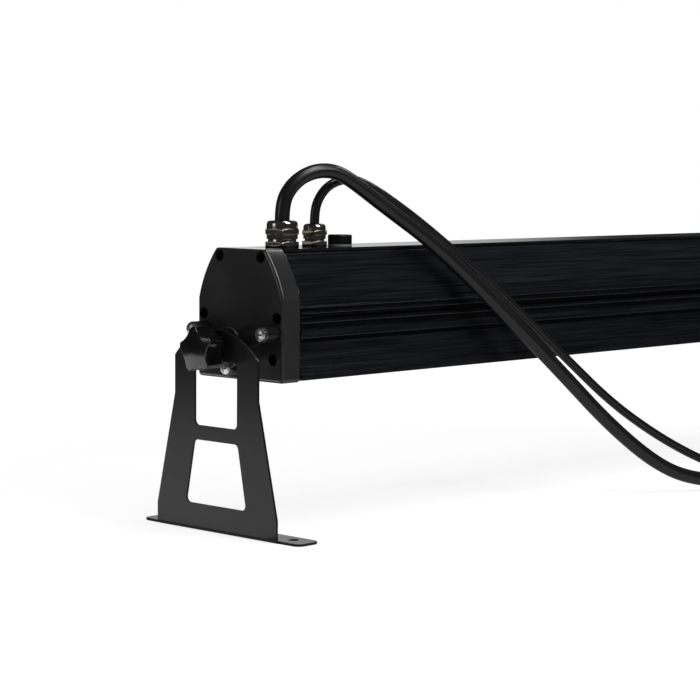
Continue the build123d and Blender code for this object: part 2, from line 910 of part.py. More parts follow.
def top_inner_drop():
    """Height of the chamber's ceiling, counted from the top of the housing."""
    return -top_lip - wall / 2


def build_vent():
    """Breather plug: pale sealing ring and black body."""
    x = along(vent_from_end)
    place = Pos(x, 0, housing_top)
    ring_shape = turned(
        (vent_thread_radius + hole_clearance, 0),
        (vent_radius, 0),
        (vent_radius, vent_ring),
        (vent_thread_radius + hole_clearance, vent_ring),
    )
    add("vent_seal", place * ring_shape)
    crown = vent_ring + vent_height
    body = turned(
        (0, -vent_thread_length),
        (vent_thread_radius, -vent_thread_length),
        (vent_thread_radius, vent_ring),
        (vent_radius, vent_ring),
        (vent_radius, crown - vent_edge),
        (vent_radius - vent_edge, crown),
        (0, crown),
    )
    add("vent_plug", place * body)


def build_housing(bores):
    """Extruded housing with its drilled holes."""
    body = slab(profile_section(), -profile_end, profile_end)
    top = Pos(0, 0, housing_top)
    depth = -2 * top_inner_drop()
    holes = [
        (along(power_from_end), gland_thread(power_hex) + hole_clearance),
        (along(signal_from_end), gland_thread(signal_hex) + hole_clearance),
        (along(vent_from_end), vent_thread_radius + hole_clearance),
    ]
    for x, radius in holes:
        body -= top * Pos(x, 0, 0) * Cylinder(radius, depth)
    lead_hole = Cylinder(
        wire_radius + hole_clearance, shelf_thickness, align=(Align.CENTER, Align.CENTER, Align.MIN)
    )
    body -= Pos(lead_place(), 0, cap_bottom + shelf_bottom) * lead_hole
    add("housing_profile", body - bores)


def route_path(points):
    """Straight runs joined by the largest arcs that their lengths allow."""
    knots = [Vector(*p) for p in points]
    radii = []
    for before, here, after in zip(knots, knots[1:], knots[2:]):
        turn = math.radians((here - before).get_angle(after - here))
        shorter = min((here - before).length, (after - here).length)
        radii.append(0.45 * shorter / math.tan(turn / 2))
    path = FilletPolyline(*knots, radius=radii)
    return path, radii


def swept_tube(path_and_radii, radius):
    """Round tube along a path."""
    path, _ = path_and_radii
    section = Plane(origin=path @ 0, z_dir=path % 0) * Circle(radius)
    return sweep(section, path=path)


def biarc(start, start_way, end, end_way):
    """Two arcs that leave one point and reach another in given directions."""
    chord = end - start
    ways = start_way + end_way
    spare = 2 * (1 - start_way.dot(end_way))
    reach = chord.dot(ways)
    if spare < 1e-9:
        span = chord.dot(chord) / (2 * reach)
    else:
        span = (math.sqrt(reach * reach + spare * chord.dot(chord)) - reach) / spare
    joint = (start + end + (start_way - end_way) * span) * 0.5
    middle_way = (end - end_way * span - start - start_way * span).normalized()
    first = Edge.make_tangent_arc(start, start_way, joint)
    return [first, Edge.make_tangent_arc(joint, middle_way, end)]


def coil_sizes(cable_radius, turns):
    """Pitch, least radius, outer radius and layer heights of a two-layer coil."""
    pitch = 2 * cable_radius + coil_gap
    least = coil_across * cable_radius - pitch * turns / 4
    outer = least + pitch * turns / 2
    low = cable_radius + tie_gap + tie_thickness + floor_gap
    return pitch, least, outer, low


def coil_point(centre, cable_radius, turns, angle):
    """Centre line of a coil: it spirals in on the floor, climbs, and spirals out on top."""
    pitch, least, _, low = coil_sizes(cable_radius, turns)
    past = angle - math.pi * turns
    radius = least + pitch * abs(past) / (2 * math.pi)
    share = min(max(past / math.pi + 0.5, 0), 1)
    height = low + pitch * share * share * (3 - 2 * share)
    way = angle - math.pi / 2
    return Vector(centre[0] + radius * math.cos(way), centre[1] + radius * math.sin(way), height)


def coil_path(centre, cable_radius, turns, tail, tail_height):
    """Coil from its straight start to the straight end that enters the connector."""
    pitch, _, outer, low = coil_sizes(cable_radius, turns)
    steps = round(4 * turns)
    small = 1e-4
    knots = []
    for i in range(steps + 1):
        angle = 2 * math.pi * turns * i / steps
        ahead = coil_point(centre, cable_radius, turns, angle + small)
        behind = coil_point(centre, cable_radius, turns, angle - small)
        knots.append((coil_point(centre, cable_radius, turns, angle), (ahead - behind).normalized()))
    start, end = Vector(1, 0, 0), Vector(0, 1, 0)
    knots[0] = (knots[0][0], start)
    knots[-1] = (knots[-1][0], end)
    straight = 2 * cable_radius
    edges = [Edge.make_line(knots[0][0] - start * straight, knots[0][0])]
    for (a, a_way), (b, b_way) in zip(knots, knots[1:]):
        edges += biarc(a, a_way, b, b_way)
    last = knots[-1][0]
    landing = Vector(last.X, last.Y + tail, tail_height)
    edges += biarc(last, end, landing, end)
    edges.append(Edge.make_line(landing, landing + end * straight))
    return edges


def least_gap(edges, cable_radius):
    """Smallest distance between the surfaces of different turns, measured on points."""
    points, travel, total = [], [], 0
    for edge in edges:
        count = max(4, round(edge.length / 3))
        for i in range(count):
            points.append(edge @ (i / count))
            travel.append(total + edge.length * i / count)
        total += edge.length
    gap = math.inf
    for i, a in enumerate(points):
        for b, place in zip(points[i + 1:], travel[i + 1:]):
            if place - travel[i] > 6 * cable_radius:
                gap = min(gap, (a - b).length - 2 * cable_radius)
    return gap


def coil_tie(centre, cable_radius, turns):
    """Flat strap round all the turns, on the side towards the near end."""
    pitch, _, _, low = coil_sizes(cable_radius, turns)
    angles = [2 * math.pi * (i + 0.75) for i in range(int(turns))]
    reaches = [centre[0] - coil_point(centre, cable_radius, turns, a).X for a in angles]
    room = cable_radius + tie_gap
    width = max(reaches) - min(reaches) + 2 * room
    height = pitch + 2 * room
    middle_x = centre[0] - (max(reaches) + min(reaches)) / 2
    middle_z = low + pitch / 2
    outer = RectangleRounded(width + 2 * tie_thickness, height + 2 * tie_thickness, room / 2 + tie_thickness)
    face = outer - RectangleRounded(width, height, room / 2)
    plane = Plane(origin=(middle_x, centre[1] + tie_width / 2, middle_z), x_dir=(1, 0, 0), z_dir=(0, -1, 0))
    return extrude(plane * face, amount=tie_width)


def connector_radius(cable_radius):
    """Outer radius of a connector, which is its collar's."""
    return cable_radius + neck_wall + collar_step


def build_connector(prefix, place, cable_radius):
    """Round cable connector: moulded body with its boot, fluted collar and contact insert."""
    neck = cable_radius + neck_wall
    grip = neck + grip_step
    outer = connector_radius(cable_radius)
    grip_start = boot_length
    neck_start = grip_start + grip_length
    body_end = neck_start + neck_length
    retainer_start = neck_start + running_gap + collar_back_length + running_gap
    socket = neck - insert_wall
    body = turned(
        (0, 0),
        (cable_radius + boot_wall, 0),
        (grip, grip_start),
        (grip, neck_start),
        (neck, neck_start),
        (neck, retainer_start),
        (neck + retainer_height, retainer_start),
        (neck + retainer_height, retainer_start + retainer_length),
        (neck, retainer_start + retainer_length),
        (neck, body_end),
        (socket, body_end),
        (socket, body_end - insert_length),
        (0, body_end - insert_length),
    )
    insert = Pos(0, 0, body_end - insert_length) * Cylinder(
        socket - running_clearance, insert_length, align=(Align.CENTER, Align.CENTER, Align.MIN)
    )
    contact = Pos(0, 0, body_end) * Cylinder(contact_radius, 2 * contact_depth)
    for i in range(3):
        insert -= Rot(0, 0, 120 * i) * Pos(socket / 2, 0, 0) * contact
    collar_start = neck_start + running_gap
    collar_end = collar_start + collar_length
    step = collar_start + collar_back_length
    inner = neck + running_clearance
    wide = neck + retainer_height + running_gap
    collar = turned(
        (inner, collar_start),
        (outer - boot_wall, collar_start),
        (outer, collar_start + boot_wall),
        (outer, collar_end - boot_wall),
        (outer - boot_wall, collar_end),
        (wide, collar_end),
        (wide, step),
        (inner, step),
    )
    flute = Pos(outer + collar_flute_radius / 2, 0, collar_start) * Cylinder(
        collar_flute_radius, collar_length, align=(Align.CENTER, Align.CENTER, Align.MIN)
    )
    collar -= [Rot(0, 0, 360 * i / collar_flutes) * flute for i in range(collar_flutes)]
    add(prefix + "_connector_body", place * body)
    add(prefix + "_connector_collar", place * collar)
    add(prefix + "_connector_insert", place * insert)


def build_cable(prefix, route, centre, cable_radius, turns, tail):
    """One free cable: its hanging stretch, its coil and tie, and its connector."""
    path, radii = route_path(route)
    tube = swept_tube((path, radii), cable_radius)
    expected = math.pi * cable_radius**2 * path.length
    print(prefix, "bend radii", [round(r, 1) for r in radii])
    print(prefix, "stretch", round(path.length, 1), "volume share", round(tube.volume / expected, 4))
    tail_height = connector_radius(cable_radius) + floor_gap
    edges = coil_path(centre, cable_radius, turns, tail, tail_height)
    coil_wire = Wire(edges)
    section = Plane(origin=coil_wire @ 0, z_dir=coil_wire % 0) * Circle(cable_radius)
    coil = sweep(section, path=coil_wire)
    expected = math.pi * cable_radius**2 * coil_wire.length
    print(prefix, "coil", round(coil_wire.length, 1), "volume share", round(coil.volume / expected, 4))
    print(prefix, "least gap between turns", round(least_gap(edges, cable_radius), 2))
    print(prefix, "whole length", round(path.length + coil_wire.length, 1))
    add(prefix + "_cable", tube)
    add(prefix + "_coil", coil)
    add(prefix + "_coil_tie", coil_tie(centre, cable_radius, turns))
    back = coil_wire @ 1
    place = Plane(origin=back, x_dir=(1, 0, 0), z_dir=(0, 1, 0)).location
    build_connector(prefix, place, cable_radius)


def coil_entry(centre, cable_radius, turns):
    """Last two points of a free stretch: level, in line with the coil's straight start."""
    _, _, outer, low = coil_sizes(cable_radius, turns)
    x = centre[0] - 2 * cable_radius
    y = centre[1] - outer
    return x, y, low


def build_cables():
    """Both free cables: up out of the glands, over the bar's near side and down to the floor."""
    power_centre = (along(power_coil_centre[0]), power_coil_centre[1])
    signal_centre = (along(signal_coil_centre[0]), signal_coil_centre[1])
    power_floor = power_cable_radius + floor_gap
    signal_floor = signal_cable_radius + floor_gap
    x, y, low = coil_entry(power_centre, power_cable_radius, power_coil_turns)
    power_route = [
        (along(power_from_end), 0, power_mouth),
        (along(power_from_end), 0, 249),
        (along(51.3), -2.2, 261.5),
        (along(61.7), -5.9, 270.5),
        (along(74.8), -10.7, 275),
        (along(89), -15.8, 274),
        (along(103.1), -20.8, 266),
        (along(128), -29.8, 247.5),
        (along(175), -46.7, 214.5),
        (along(228.7), -66.1, 165),
        (along(282.3), -85.4, 113),
        (along(335), -104.3, 60),
        (along(384.9), -122.3, 21.5),
        (along(426.3), -137.2, 8.5),
        (along(476), -152, power_floor + 0.2),
        (along(532), -163, power_floor),
        (along(592), -168.5, power_floor),
        (along(645), -168, power_floor + 0.8),
        (x - 47, y, low),
        (x, y, low),
    ]
    build_cable("power", power_route, power_centre, power_cable_radius, power_coil_turns, power_tail)
    x, y, low = coil_entry(signal_centre, signal_cable_radius, signal_coil_turns)
    signal_route = [
        (along(signal_from_end), 0, signal_mouth),
        (along(signal_from_end), 0, 243.5),
        (along(84.7), -1.3, 254),
        (along(91.8), -3.6, 262.5),
        (along(102.3), -7.1, 267.5),
        (along(113.7), -10.8, 268),
        (along(125.5), -14.7, 263.5),
        (along(143.6), -20.7, 253),
        (along(177.8), -32, 229.5),
        (along(223.3), -47, 193),
        (along(268.9), -62, 154),
        (along(309.8), -75.5, 117),
        (along(352.5), -89.6, 79),
        (along(396.2), -104, 49.5),
        (along(438), -117.8, 27),
        (along(477), -130.5, 11.5),
        (along(515), -139.5, signal_floor + 1.2),
        (x - 36, y, low),
        (x, y, low),
    ]
    build_cable("signal", signal_route, signal_centre, signal_cable_radius, signal_coil_turns, signal_tail)


build_ends()
drilled = build_optics()
build_driver()
build_gland("power", along(power_from_end), power_hex, power_cable_radius, power_gland_heights)
build_gland("signal", along(signal_from_end), signal_hex, signal_cable_radius, signal_gland_heights)
build_vent()
build_housing(drilled)
build_cables()

os.makedirs("parts", exist_ok=True)
for node, solid in parts.items():
    export_step(solid, f"parts/{node}.step")
print(len(parts), "nodes")
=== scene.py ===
import json
import math

import bmesh
import bpy
from mathutils import Matrix, Vector


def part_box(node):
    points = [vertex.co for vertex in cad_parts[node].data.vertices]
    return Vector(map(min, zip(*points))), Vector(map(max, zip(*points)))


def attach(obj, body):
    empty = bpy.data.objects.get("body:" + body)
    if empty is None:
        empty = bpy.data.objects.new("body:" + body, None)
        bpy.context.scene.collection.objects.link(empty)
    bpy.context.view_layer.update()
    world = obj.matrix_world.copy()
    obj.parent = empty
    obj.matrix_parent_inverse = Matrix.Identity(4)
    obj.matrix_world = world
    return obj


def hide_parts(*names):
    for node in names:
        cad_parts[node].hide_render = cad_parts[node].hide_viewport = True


bl_info = {
    "name": "Linear floodlight",
    "version": (1, 0, 0),
    "blender": (4, 5, 0),
    "location": "View3D > Sidebar > Floodlight",
    "description": "Dresses the packed linear floodlight with its finishes, cables, screws, optics and stage",
    "category": "Object",
}

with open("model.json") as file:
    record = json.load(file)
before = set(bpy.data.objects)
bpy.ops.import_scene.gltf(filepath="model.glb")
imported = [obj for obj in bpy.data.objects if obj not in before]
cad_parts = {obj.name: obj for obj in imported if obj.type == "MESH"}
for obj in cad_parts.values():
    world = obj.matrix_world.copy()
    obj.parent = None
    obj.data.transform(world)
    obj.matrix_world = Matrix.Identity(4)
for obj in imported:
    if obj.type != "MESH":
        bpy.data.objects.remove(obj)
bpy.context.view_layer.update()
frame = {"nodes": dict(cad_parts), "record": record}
NODES = frame["nodes"]
ENDS = ("near", "far")
CABLES = ("power", "signal")
BODY_OF = {
    node: body
    for body, members in frame["record"]["behaviour"]["bodies"].items()
    for node in members
}


def centre(node):
    """Middle of a node's box at rest."""
    low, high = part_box(node)
    return (low + high) / 2


# The near cap's outer face: cable routes are counted from it along X
CAP_THICKNESS = 0.018
NEAR_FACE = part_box("end_cap_near")[1].x - CAP_THICKNESS


# Properties

class FloodlightFinishes(bpy.types.PropertyGroup):
    """Colours and edge sizes of the lamp's surfaces."""

    anodised: bpy.props.FloatVectorProperty(
        name="Anodised housing", description="Dye colour of the extruded housing",
        subtype="COLOR", size=3, min=0, max=1, default=(0.0142, 0.015, 0.0182),
    )
    cap_paint: bpy.props.FloatVectorProperty(
        name="End caps", description="Paint of the cast end caps and pivot plates",
        subtype="COLOR", size=3, min=0, max=1, default=(0.044, 0.044, 0.045),
    )
    foot_coat: bpy.props.FloatVectorProperty(
        name="Feet", description="Powder coat of the sheet metal feet",
        subtype="COLOR", size=3, min=0, max=1, default=(0.018, 0.018, 0.0184),
    )
    plating: bpy.props.FloatVectorProperty(
        name="Glands", description="Nickel plating of the cable glands",
        subtype="COLOR", size=3, min=0, max=1, default=(0.55, 0.52, 0.465),
    )
    cable_rubber: bpy.props.FloatVectorProperty(
        name="Cables", description="Rubber jacket of both cables",
        subtype="COLOR", size=3, min=0, max=1, default=(0.013, 0.013, 0.0135),
    )
    edge_round: bpy.props.FloatProperty(
        name="Edge rounding", description="Width of the rounding on machined edges",
        subtype="DISTANCE", unit="LENGTH", min=0, max=0.002, default=0.00035,
    )


class FloodlightStage(bpy.types.PropertyGroup):
    """Camera and studio around the lamp."""

    focal: bpy.props.FloatProperty(
        name="Focal length", description="Camera lens, for a sensor 36 mm wide",
        subtype="DISTANCE_CAMERA", min=10, max=500, default=109.2,
    )
    yaw: bpy.props.FloatProperty(
        name="Camera yaw", description="Turn of the view from +Y towards +X",
        subtype="ANGLE", unit="ROTATION", default=math.radians(46.628),
    )
    pitch: bpy.props.FloatProperty(
        name="Camera pitch", description="Tilt of the view above the horizon",
        subtype="ANGLE", unit="ROTATION", default=math.radians(-4.963),
    )
    roll: bpy.props.FloatProperty(
        name="Camera roll", description="Turn of the picture about the view",
        subtype="ANGLE", unit="ROTATION", default=math.radians(0.433),
    )
    station: bpy.props.FloatVectorProperty(
        name="Camera place", description="Where the camera stands",
        subtype="TRANSLATION", unit="LENGTH", size=3, default=(-1.612389, -1.166655, 0.278678),
    )
    floor_glow: bpy.props.FloatProperty(
        name="Floor white", description="Share of plain white that the camera sees in the floor by the lamp",
        subtype="FACTOR", min=0, max=1, default=0.86,
    )
    fill: bpy.props.FloatProperty(
        name="Fill light", description="Strength of the dim surroundings on the camera's side",
        subtype="FACTOR", min=0, max=1, default=0.035,
    )
    top_power: bpy.props.FloatProperty(
        name="Top light", description="Power of the soft light above the lamp",
        subtype="POWER", unit="POWER", min=0, max=200, default=7,
    )
    left_power: bpy.props.FloatProperty(
        name="Left light", description="Power of the light from the floor on the picture's left",
        subtype="POWER", unit="POWER", min=0, max=200, default=1.0,
    )
    right_power: bpy.props.FloatProperty(
        name="Right light", description="Power of the soft light on the picture's right",
        subtype="POWER", unit="POWER", min=0, max=200, default=2.4,
    )
    rim_power: bpy.props.FloatProperty(
        name="Rim light", description="Power of the small light behind the lamp's right",
        subtype="POWER", unit="POWER", min=0, max=200, default=2,
    )
    glint_power: bpy.props.FloatProperty(
        name="Glint light", description="Power of the small light on the left that glints on bare metal",
        subtype="POWER", unit="POWER", min=0, max=200, default=0.8,
    )


def finishes():
    """The scene's colours and edge sizes."""
    return bpy.context.scene.floodlight_finishes


# Materials

# Keeps the finishes apart from the plain materials of the solids
FINISH_PREFIX = "finish_"
# Noise values hardly go beyond these two
NOISE_LOW = 0.3
NOISE_HIGH = 0.7


class Surface:
    """A material with a Principled shader, and short ways to add texture to it."""

    def __init__(self, name, colour, roughness, metallic=0.0, specular=0.5):
        self.material = bpy.data.materials.new(FINISH_PREFIX + name)
        self.material.use_nodes = True
        self.nodes = self.material.node_tree.nodes
        self.links = self.material.node_tree.links
        self.shader = self.nodes["Principled BSDF"]
        self.set("Base Color", (*colour, 1))
        self.set("Roughness", roughness)
        self.set("Metallic", metallic)
        self.set("Specular IOR Level", specular)
        self.place = self.nodes.new("ShaderNodeTexCoord").outputs["Object"]

    def set(self, socket, value):
        """A plain value for a shader input."""
        self.shader.inputs[socket].default_value = value

    def stretched(self, scale):
        """Object coordinates scaled along X, Y and Z."""
        mapping = self.nodes.new("ShaderNodeMapping")
        mapping.inputs["Scale"].default_value = scale
        self.links.new(self.place, mapping.inputs["Vector"])
        return mapping.outputs["Vector"]

    def noise(self, scale, detail=4.0, stretch=None):
        """Cloudy texture; scale is in features per metre."""
        texture = self.nodes.new("ShaderNodeTexNoise")
        texture.inputs["Scale"].default_value = scale
        texture.inputs["Detail"].default_value = detail
        self.links.new(self.stretched(stretch) if stretch else self.place, texture.inputs["Vector"])
        return texture.outputs["Fac"]

    def ramp(self, value, low, high):
        """A texture value spread between two numbers."""
        spread = self.nodes.new("ShaderNodeMapRange")
        spread.inputs["From Min"].default_value = NOISE_LOW
        spread.inputs["From Max"].default_value = NOISE_HIGH
        spread.inputs["To Min"].default_value = low
        spread.inputs["To Max"].default_value = high
        self.links.new(value, spread.inputs["Value"])
        return spread.outputs["Result"]

    def vary_colour(self, value, first, second):
        """Base colour that moves between two colours with a texture."""
        mix = self.nodes.new("ShaderNodeMix")
        mix.data_type = "RGBA"
        mix.inputs["A"].default_value = (*first, 1)
        mix.inputs["B"].default_value = (*second, 1)
        self.links.new(self.ramp(value, 0, 1), mix.inputs["Factor"])
        self.links.new(mix.outputs["Result"], self.shader.inputs["Base Color"])

    def vary(self, socket, value, low, high):
        """A shader input that moves between two numbers with a texture."""
        self.links.new(self.ramp(value, low, high), self.shader.inputs[socket])

    def bump(self, value, height):
        """Relief of a given height in metres, on top of any relief before it."""
        node = self.nodes.new("ShaderNodeBump")
        node.inputs["Distance"].default_value = height
        node.inputs["Strength"].default_value = 1.0
        self.links.new(value, node.inputs["Height"])
        if self.shader.inputs["Normal"].is_linked:
            self.links.new(self.shader.inputs["Normal"].links[0].from_socket, node.inputs["Normal"])
        self.links.new(node.outputs["Normal"], self.shader.inputs["Normal"])


def shade(colour, share):
    """A colour made lighter or darker."""
    return tuple(min(1.0, c * share) for c in colour)


def black_anodised():
    """Satin black anodising with the fine lengthwise lines of the extrusion die."""
    colour = finishes().anodised
    surface = Surface("black_anodised", colour, 0.18, specular=0.25)
    surface.set("Specular Tint", (0.9, 0.95, 1.0, 1))
    lines = surface.noise(1.0, 2.0, (12.0, 560.0, 560.0))
    grain = surface.noise(2600.0, 2.0)
    surface.vary_colour(lines, shade(colour, 0.45), shade(colour, 1.7))
    surface.vary("Roughness", lines, 0.14, 0.22)
    surface.vary("Specular IOR Level", lines, 0.15, 0.35)
    surface.bump(lines, 0.00002)
    surface.bump(grain, 0.000004)
    return surface.material


def anodised_edge_wear_and_painted_highlight():
    """Thin, brighter anodising on the edges of the extrusion: partly wear of the coating, partly a painted
    highlight for the bright edge lines.
    """
    colour = (0.14, 0.145, 0.15)
    surface = Surface("anodised_edge_wear_and_painted_highlight", colour, 0.25, metallic=1.0)
    # The edge colour is lighter than the faces' colour: part wear, part painted highlight; this noise breaks
    # up the painted edge lines.
    wear_and_highlight_noise = surface.noise(1.0, 2.0, (8.0, 700.0, 700.0))
    surface.vary_colour(wear_and_highlight_noise, shade(colour, 0.75), shade(colour, 1.25))
    surface.vary("Roughness", wear_and_highlight_noise, 0.2, 0.32)
    return surface.material


def black_cast():
    """Satin paint on a casting, with a faint orange peel."""
    colour = finishes().cap_paint
    surface = Surface("black_cast", colour, 0.15, specular=0.9)
    peel = surface.noise(900.0, 2.0)
    cloud = surface.noise(28.0, 3.0)
    surface.vary_colour(cloud, shade(colour, 0.85), shade(colour, 1.15))
    surface.vary("Roughness", cloud, 0.13, 0.17)
    surface.bump(peel, 0.000004)
    return surface.material


def charcoal_coat():
    """Half gloss powder coat with a fine even grain."""
    colour = finishes().foot_coat
    surface = Surface("charcoal_coat", colour, 0.2, specular=0.36)
    grain = surface.noise(1500.0, 3.0)
    cloud = surface.noise(20.0, 2.0)
    surface.vary_colour(grain, shade(colour, 0.85), shade(colour, 1.15))
    surface.vary("Roughness", cloud, 0.2, 0.26)
    surface.bump(grain, 0.000006)
    return surface.material


def nickel_plate():
    """Nickel on turned brass: warm, bright and a little worn."""
    colour = finishes().plating
    surface = Surface("nickel_plate", colour, 0.1, metallic=1.0)
    turning = surface.noise(1.0, 2.0, (60.0, 60.0, 5200.0))
    cloud = surface.noise(240.0, 4.0)
    surface.vary_colour(cloud, shade(colour, 0.88), shade(colour, 1.08))
    surface.vary("Roughness", cloud, 0.07, 0.13)
    surface.bump(turning, 0.000003)
    return surface.material


def bright_zinc():
    """Satin zinc plate on screws and studs."""
    colour = (0.72, 0.71, 0.68)
    surface = Surface("bright_zinc", colour, 0.36, metallic=1.0)
    cloud = surface.noise(500.0, 3.0)
    surface.vary_colour(cloud, shade(colour, 0.85), shade(colour, 1.05))
    surface.vary("Roughness", cloud, 0.3, 0.42)
    return surface.material


def black_oxide():
    """Oiled black steel of the cap screws and clamp washers."""
    colour = (0.012, 0.012, 0.013)
    surface = Surface("black_oxide", colour, 0.4, metallic=0.6)
    cloud = surface.noise(420.0, 3.0)
    surface.vary_colour(cloud, shade(colour, 0.7), shade(colour, 1.4))
    surface.vary("Roughness", cloud, 0.35, 0.5)
    return surface.material


def cable_rubber():
    """Rubber jacket with a soft sheen and a faint grain."""
    colour = finishes().cable_rubber
    surface = Surface("cable_rubber", colour, 0.3, specular=0.65)
    grain = surface.noise(1800.0, 3.0)
    cloud = surface.noise(60.0, 3.0)
    surface.vary_colour(cloud, shade(colour, 0.8), shade(colour, 1.25))
    surface.vary("Roughness", cloud, 0.28, 0.33)
    surface.bump(grain, 0.00002)
    return surface.material


def seal_rubber():
    """Dull gasket rubber."""
    colour = (0.009, 0.009, 0.009)
    surface = Surface("seal_rubber", colour, 0.75, specular=0.25)
    grain = surface.noise(1400.0, 3.0)
    surface.vary_colour(grain, shade(colour, 0.8), shade(colour, 1.2))
    surface.bump(grain, 0.00002)
    return surface.material


def black_plastic():
    """Moulded black plastic with a fine spark-eroded grain."""
    colour = (0.012, 0.012, 0.0124)
    surface = Surface("black_plastic", colour, 0.3, specular=0.4)
    grain = surface.noise(2200.0, 3.0)
    cloud = surface.noise(50.0, 2.0)
    surface.vary_colour(cloud, shade(colour, 0.85), shade(colour, 1.15))
    surface.vary("Roughness", grain, 0.26, 0.36)
    surface.bump(grain, 0.00002)
    return surface.material


def gloss_plastic():
    """Glossy black plastic of the star knobs."""
    colour = (0.006, 0.006, 0.0058)
    surface = Surface("gloss_plastic", colour, 0.12, specular=0.9)
    cloud = surface.noise(70.0, 2.0)
    surface.vary_colour(cloud, shade(colour, 0.85), shade(colour, 1.15))
    surface.vary("Roughness", cloud, 0.09, 0.16)
    return surface.material


def grey_plastic():
    """Pale grey moulded plastic."""
    colour = (0.42, 0.44, 0.46)
    surface = Surface("grey_plastic", colour, 0.4)
    grain = surface.noise(1600.0, 2.0)
    surface.vary_colour(grain, shade(colour, 0.93), shade(colour, 1.05))
    surface.bump(grain, 0.00001)
    return surface.material


def clear_glass():
    """Toughened cover glass."""
    surface = Surface("clear_glass", (0.93, 0.96, 0.95), 0.03)
    surface.set("Transmission Weight", 1.0)
    surface.set("IOR", 1.5)
    wave = surface.noise(14.0, 1.0)
    surface.bump(wave, 0.00001)
    return surface.material


def clear_acrylic():
    """Moulded lens plastic."""
    surface = Surface("clear_acrylic", (0.95, 0.97, 0.98), 0.06)
    surface.set("Transmission Weight", 0.85)
    surface.set("IOR", 1.49)
    wave = surface.noise(160.0, 1.0)
    surface.bump(wave, 0.00001)
    return surface.material


def white_board():
    """White solder mask of the light board."""
    colour = (0.78, 0.78, 0.75)
    surface = Surface("white_board", colour, 0.35)
    cloud = surface.noise(300.0, 2.0)
    surface.vary_colour(cloud, shade(colour, 0.95), shade(colour, 1.03))
    return surface.material


def green_board():
    """Green solder mask with the faint relief of its tracks."""
    colour = (0.01, 0.11, 0.035)
    surface = Surface("green_board", colour, 0.3)
    tracks = surface.noise(420.0, 1.0)
    surface.vary_colour(tracks, shade(colour, 0.8), shade(colour, 1.4))
    surface.bump(tracks, 0.00003)
    return surface.material


def phosphor():
    """Yellow phosphor of the light points."""
    colour = (0.82, 0.62, 0.1)
    surface = Surface("phosphor", colour, 0.5)
    grain = surface.noise(3000.0, 2.0)
    surface.vary_colour(grain, shade(colour, 0.9), shade(colour, 1.08))
    return surface.material


def plain_aluminium():
    """Mill-finish aluminium of the parts inside."""
    colour = (0.6, 0.6, 0.6)
    surface = Surface("plain_aluminium", colour, 0.4, metallic=1.0)
    lines = surface.noise(1.0, 2.0, (8.0, 700.0, 700.0))
    surface.vary("Roughness", lines, 0.32, 0.48)
    surface.bump(lines, 0.00002)
    return surface.material


FINISH_MAKERS = (
    black_anodised, anodised_edge_wear_and_painted_highlight, black_cast, charcoal_coat, nickel_plate, bright_zinc, black_oxide,
    cable_rubber, seal_rubber, black_plastic, gloss_plastic, grey_plastic, clear_glass, clear_acrylic,
    white_board, green_board, phosphor, plain_aluminium,
)


def finish(name):
    """A finish by name, made when it is first asked for."""
    made = bpy.data.materials.get(FINISH_PREFIX + name)
    if made:
        return made
    maker = {m.__name__: m for m in FINISH_MAKERS}[name]
    return maker()


# Pieces

# Edges sharper than this are rounded and stay sharp in the shading
SHARP_EDGE = math.radians(32)
EDGE_SEGMENTS = 2
# Corners nearer than this are one, and faces that turn less than this are one
WELD_DISTANCE = 2e-6
FLAT_ANGLE = math.radians(0.3)
# Widths of the rounding on small pieces, fins, sheet metal and glands, mouldings and glass
SMALL_EDGE = 0.0002
FIN_EDGE = 0.00025
SHEET_EDGE = 0.0003
MOULDED_EDGE = 0.0004
# Pieces whose solids have all their roundings
NO_EDGE = 0


def link(name, data):
    """New object in the scene, at the origin."""
    piece = bpy.data.objects.new(name, data)
    bpy.context.scene.collection.objects.link(piece)
    return piece


def settle(piece):
    """Turns a piece with its modifiers into a plain mesh."""
    bpy.context.view_layer.update()
    depsgraph = bpy.context.evaluated_depsgraph_get()
    mesh = bpy.data.meshes.new_from_object(piece.evaluated_get(depsgraph))
    piece.modifiers.clear()
    old = piece.data
    piece.data = mesh
    mesh.name = piece.name
    bpy.data.meshes.remove(old)
    return piece


def merged_copy(node):
    """Closed mesh of a node's solid, with flat faces joined."""
    source = NODES[node].data
    work = bmesh.new()
    work.from_mesh(source)
    bmesh.ops.remove_doubles(work, verts=work.verts, dist=WELD_DISTANCE)
    bmesh.ops.dissolve_limit(work, angle_limit=FLAT_ANGLE, verts=work.verts[:], edges=work.edges[:])
    work.verts.index_update()
    corners = [v.co.copy() for v in work.verts]
    faces = [[v.index for v in f.verts] for f in work.faces]
    work.free()
    mesh = bpy.data.meshes.new(node + "_finished")
    mesh.from_pydata(corners, [], faces)
    return mesh


def shade_evenly(piece):
    """Smooth shading between sharp edges, led by the large faces."""
    for face in piece.data.polygons:
        face.use_smooth = True
    piece.data.set_sharp_from_angle(angle=SHARP_EDGE)
    weights = piece.modifiers.new("even shading", "WEIGHTED_NORMAL")
    weights.keep_sharp = True
    return settle(piece)


def dress(node, finish_name, edge=None, edge_finish=None):
    """Finished copy of a solid with rounded edges, in the place of its node."""
    piece = link(node + "_finished", merged_copy(node))
    piece.data.materials.append(finish(finish_name))
    width = finishes().edge_round if edge is None else edge
    if width > 0:
        rounding = piece.modifiers.new("edge rounding", "BEVEL")
        rounding.width = width
        rounding.segments = EDGE_SEGMENTS
        rounding.limit_method = "ANGLE"
        rounding.angle_limit = SHARP_EDGE
        rounding.use_clamp_overlap = False
        rounding.miter_outer = "MITER_ARC"
        # The rounding faces can take their own finish, such as the brighter edge that is partly wear and
        # partly a painted highlight.
        if edge_finish:
            piece.data.materials.append(finish(edge_finish))
            rounding.material = 1
    settle(piece)
    shade_evenly(piece)
    return stand_for(piece, node)


def stand_for(piece, *nodes):
    """The piece takes the place of solids, and moves with their body."""
    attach(piece, BODY_OF[nodes[0]])
    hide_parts(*nodes)
    return piece


def paint(node, finish_name):
    """A solid that keeps its shape gets its finish."""
    data = NODES[node].data
    data.materials.clear()
    data.materials.append(finish(finish_name))


# Repeated pieces

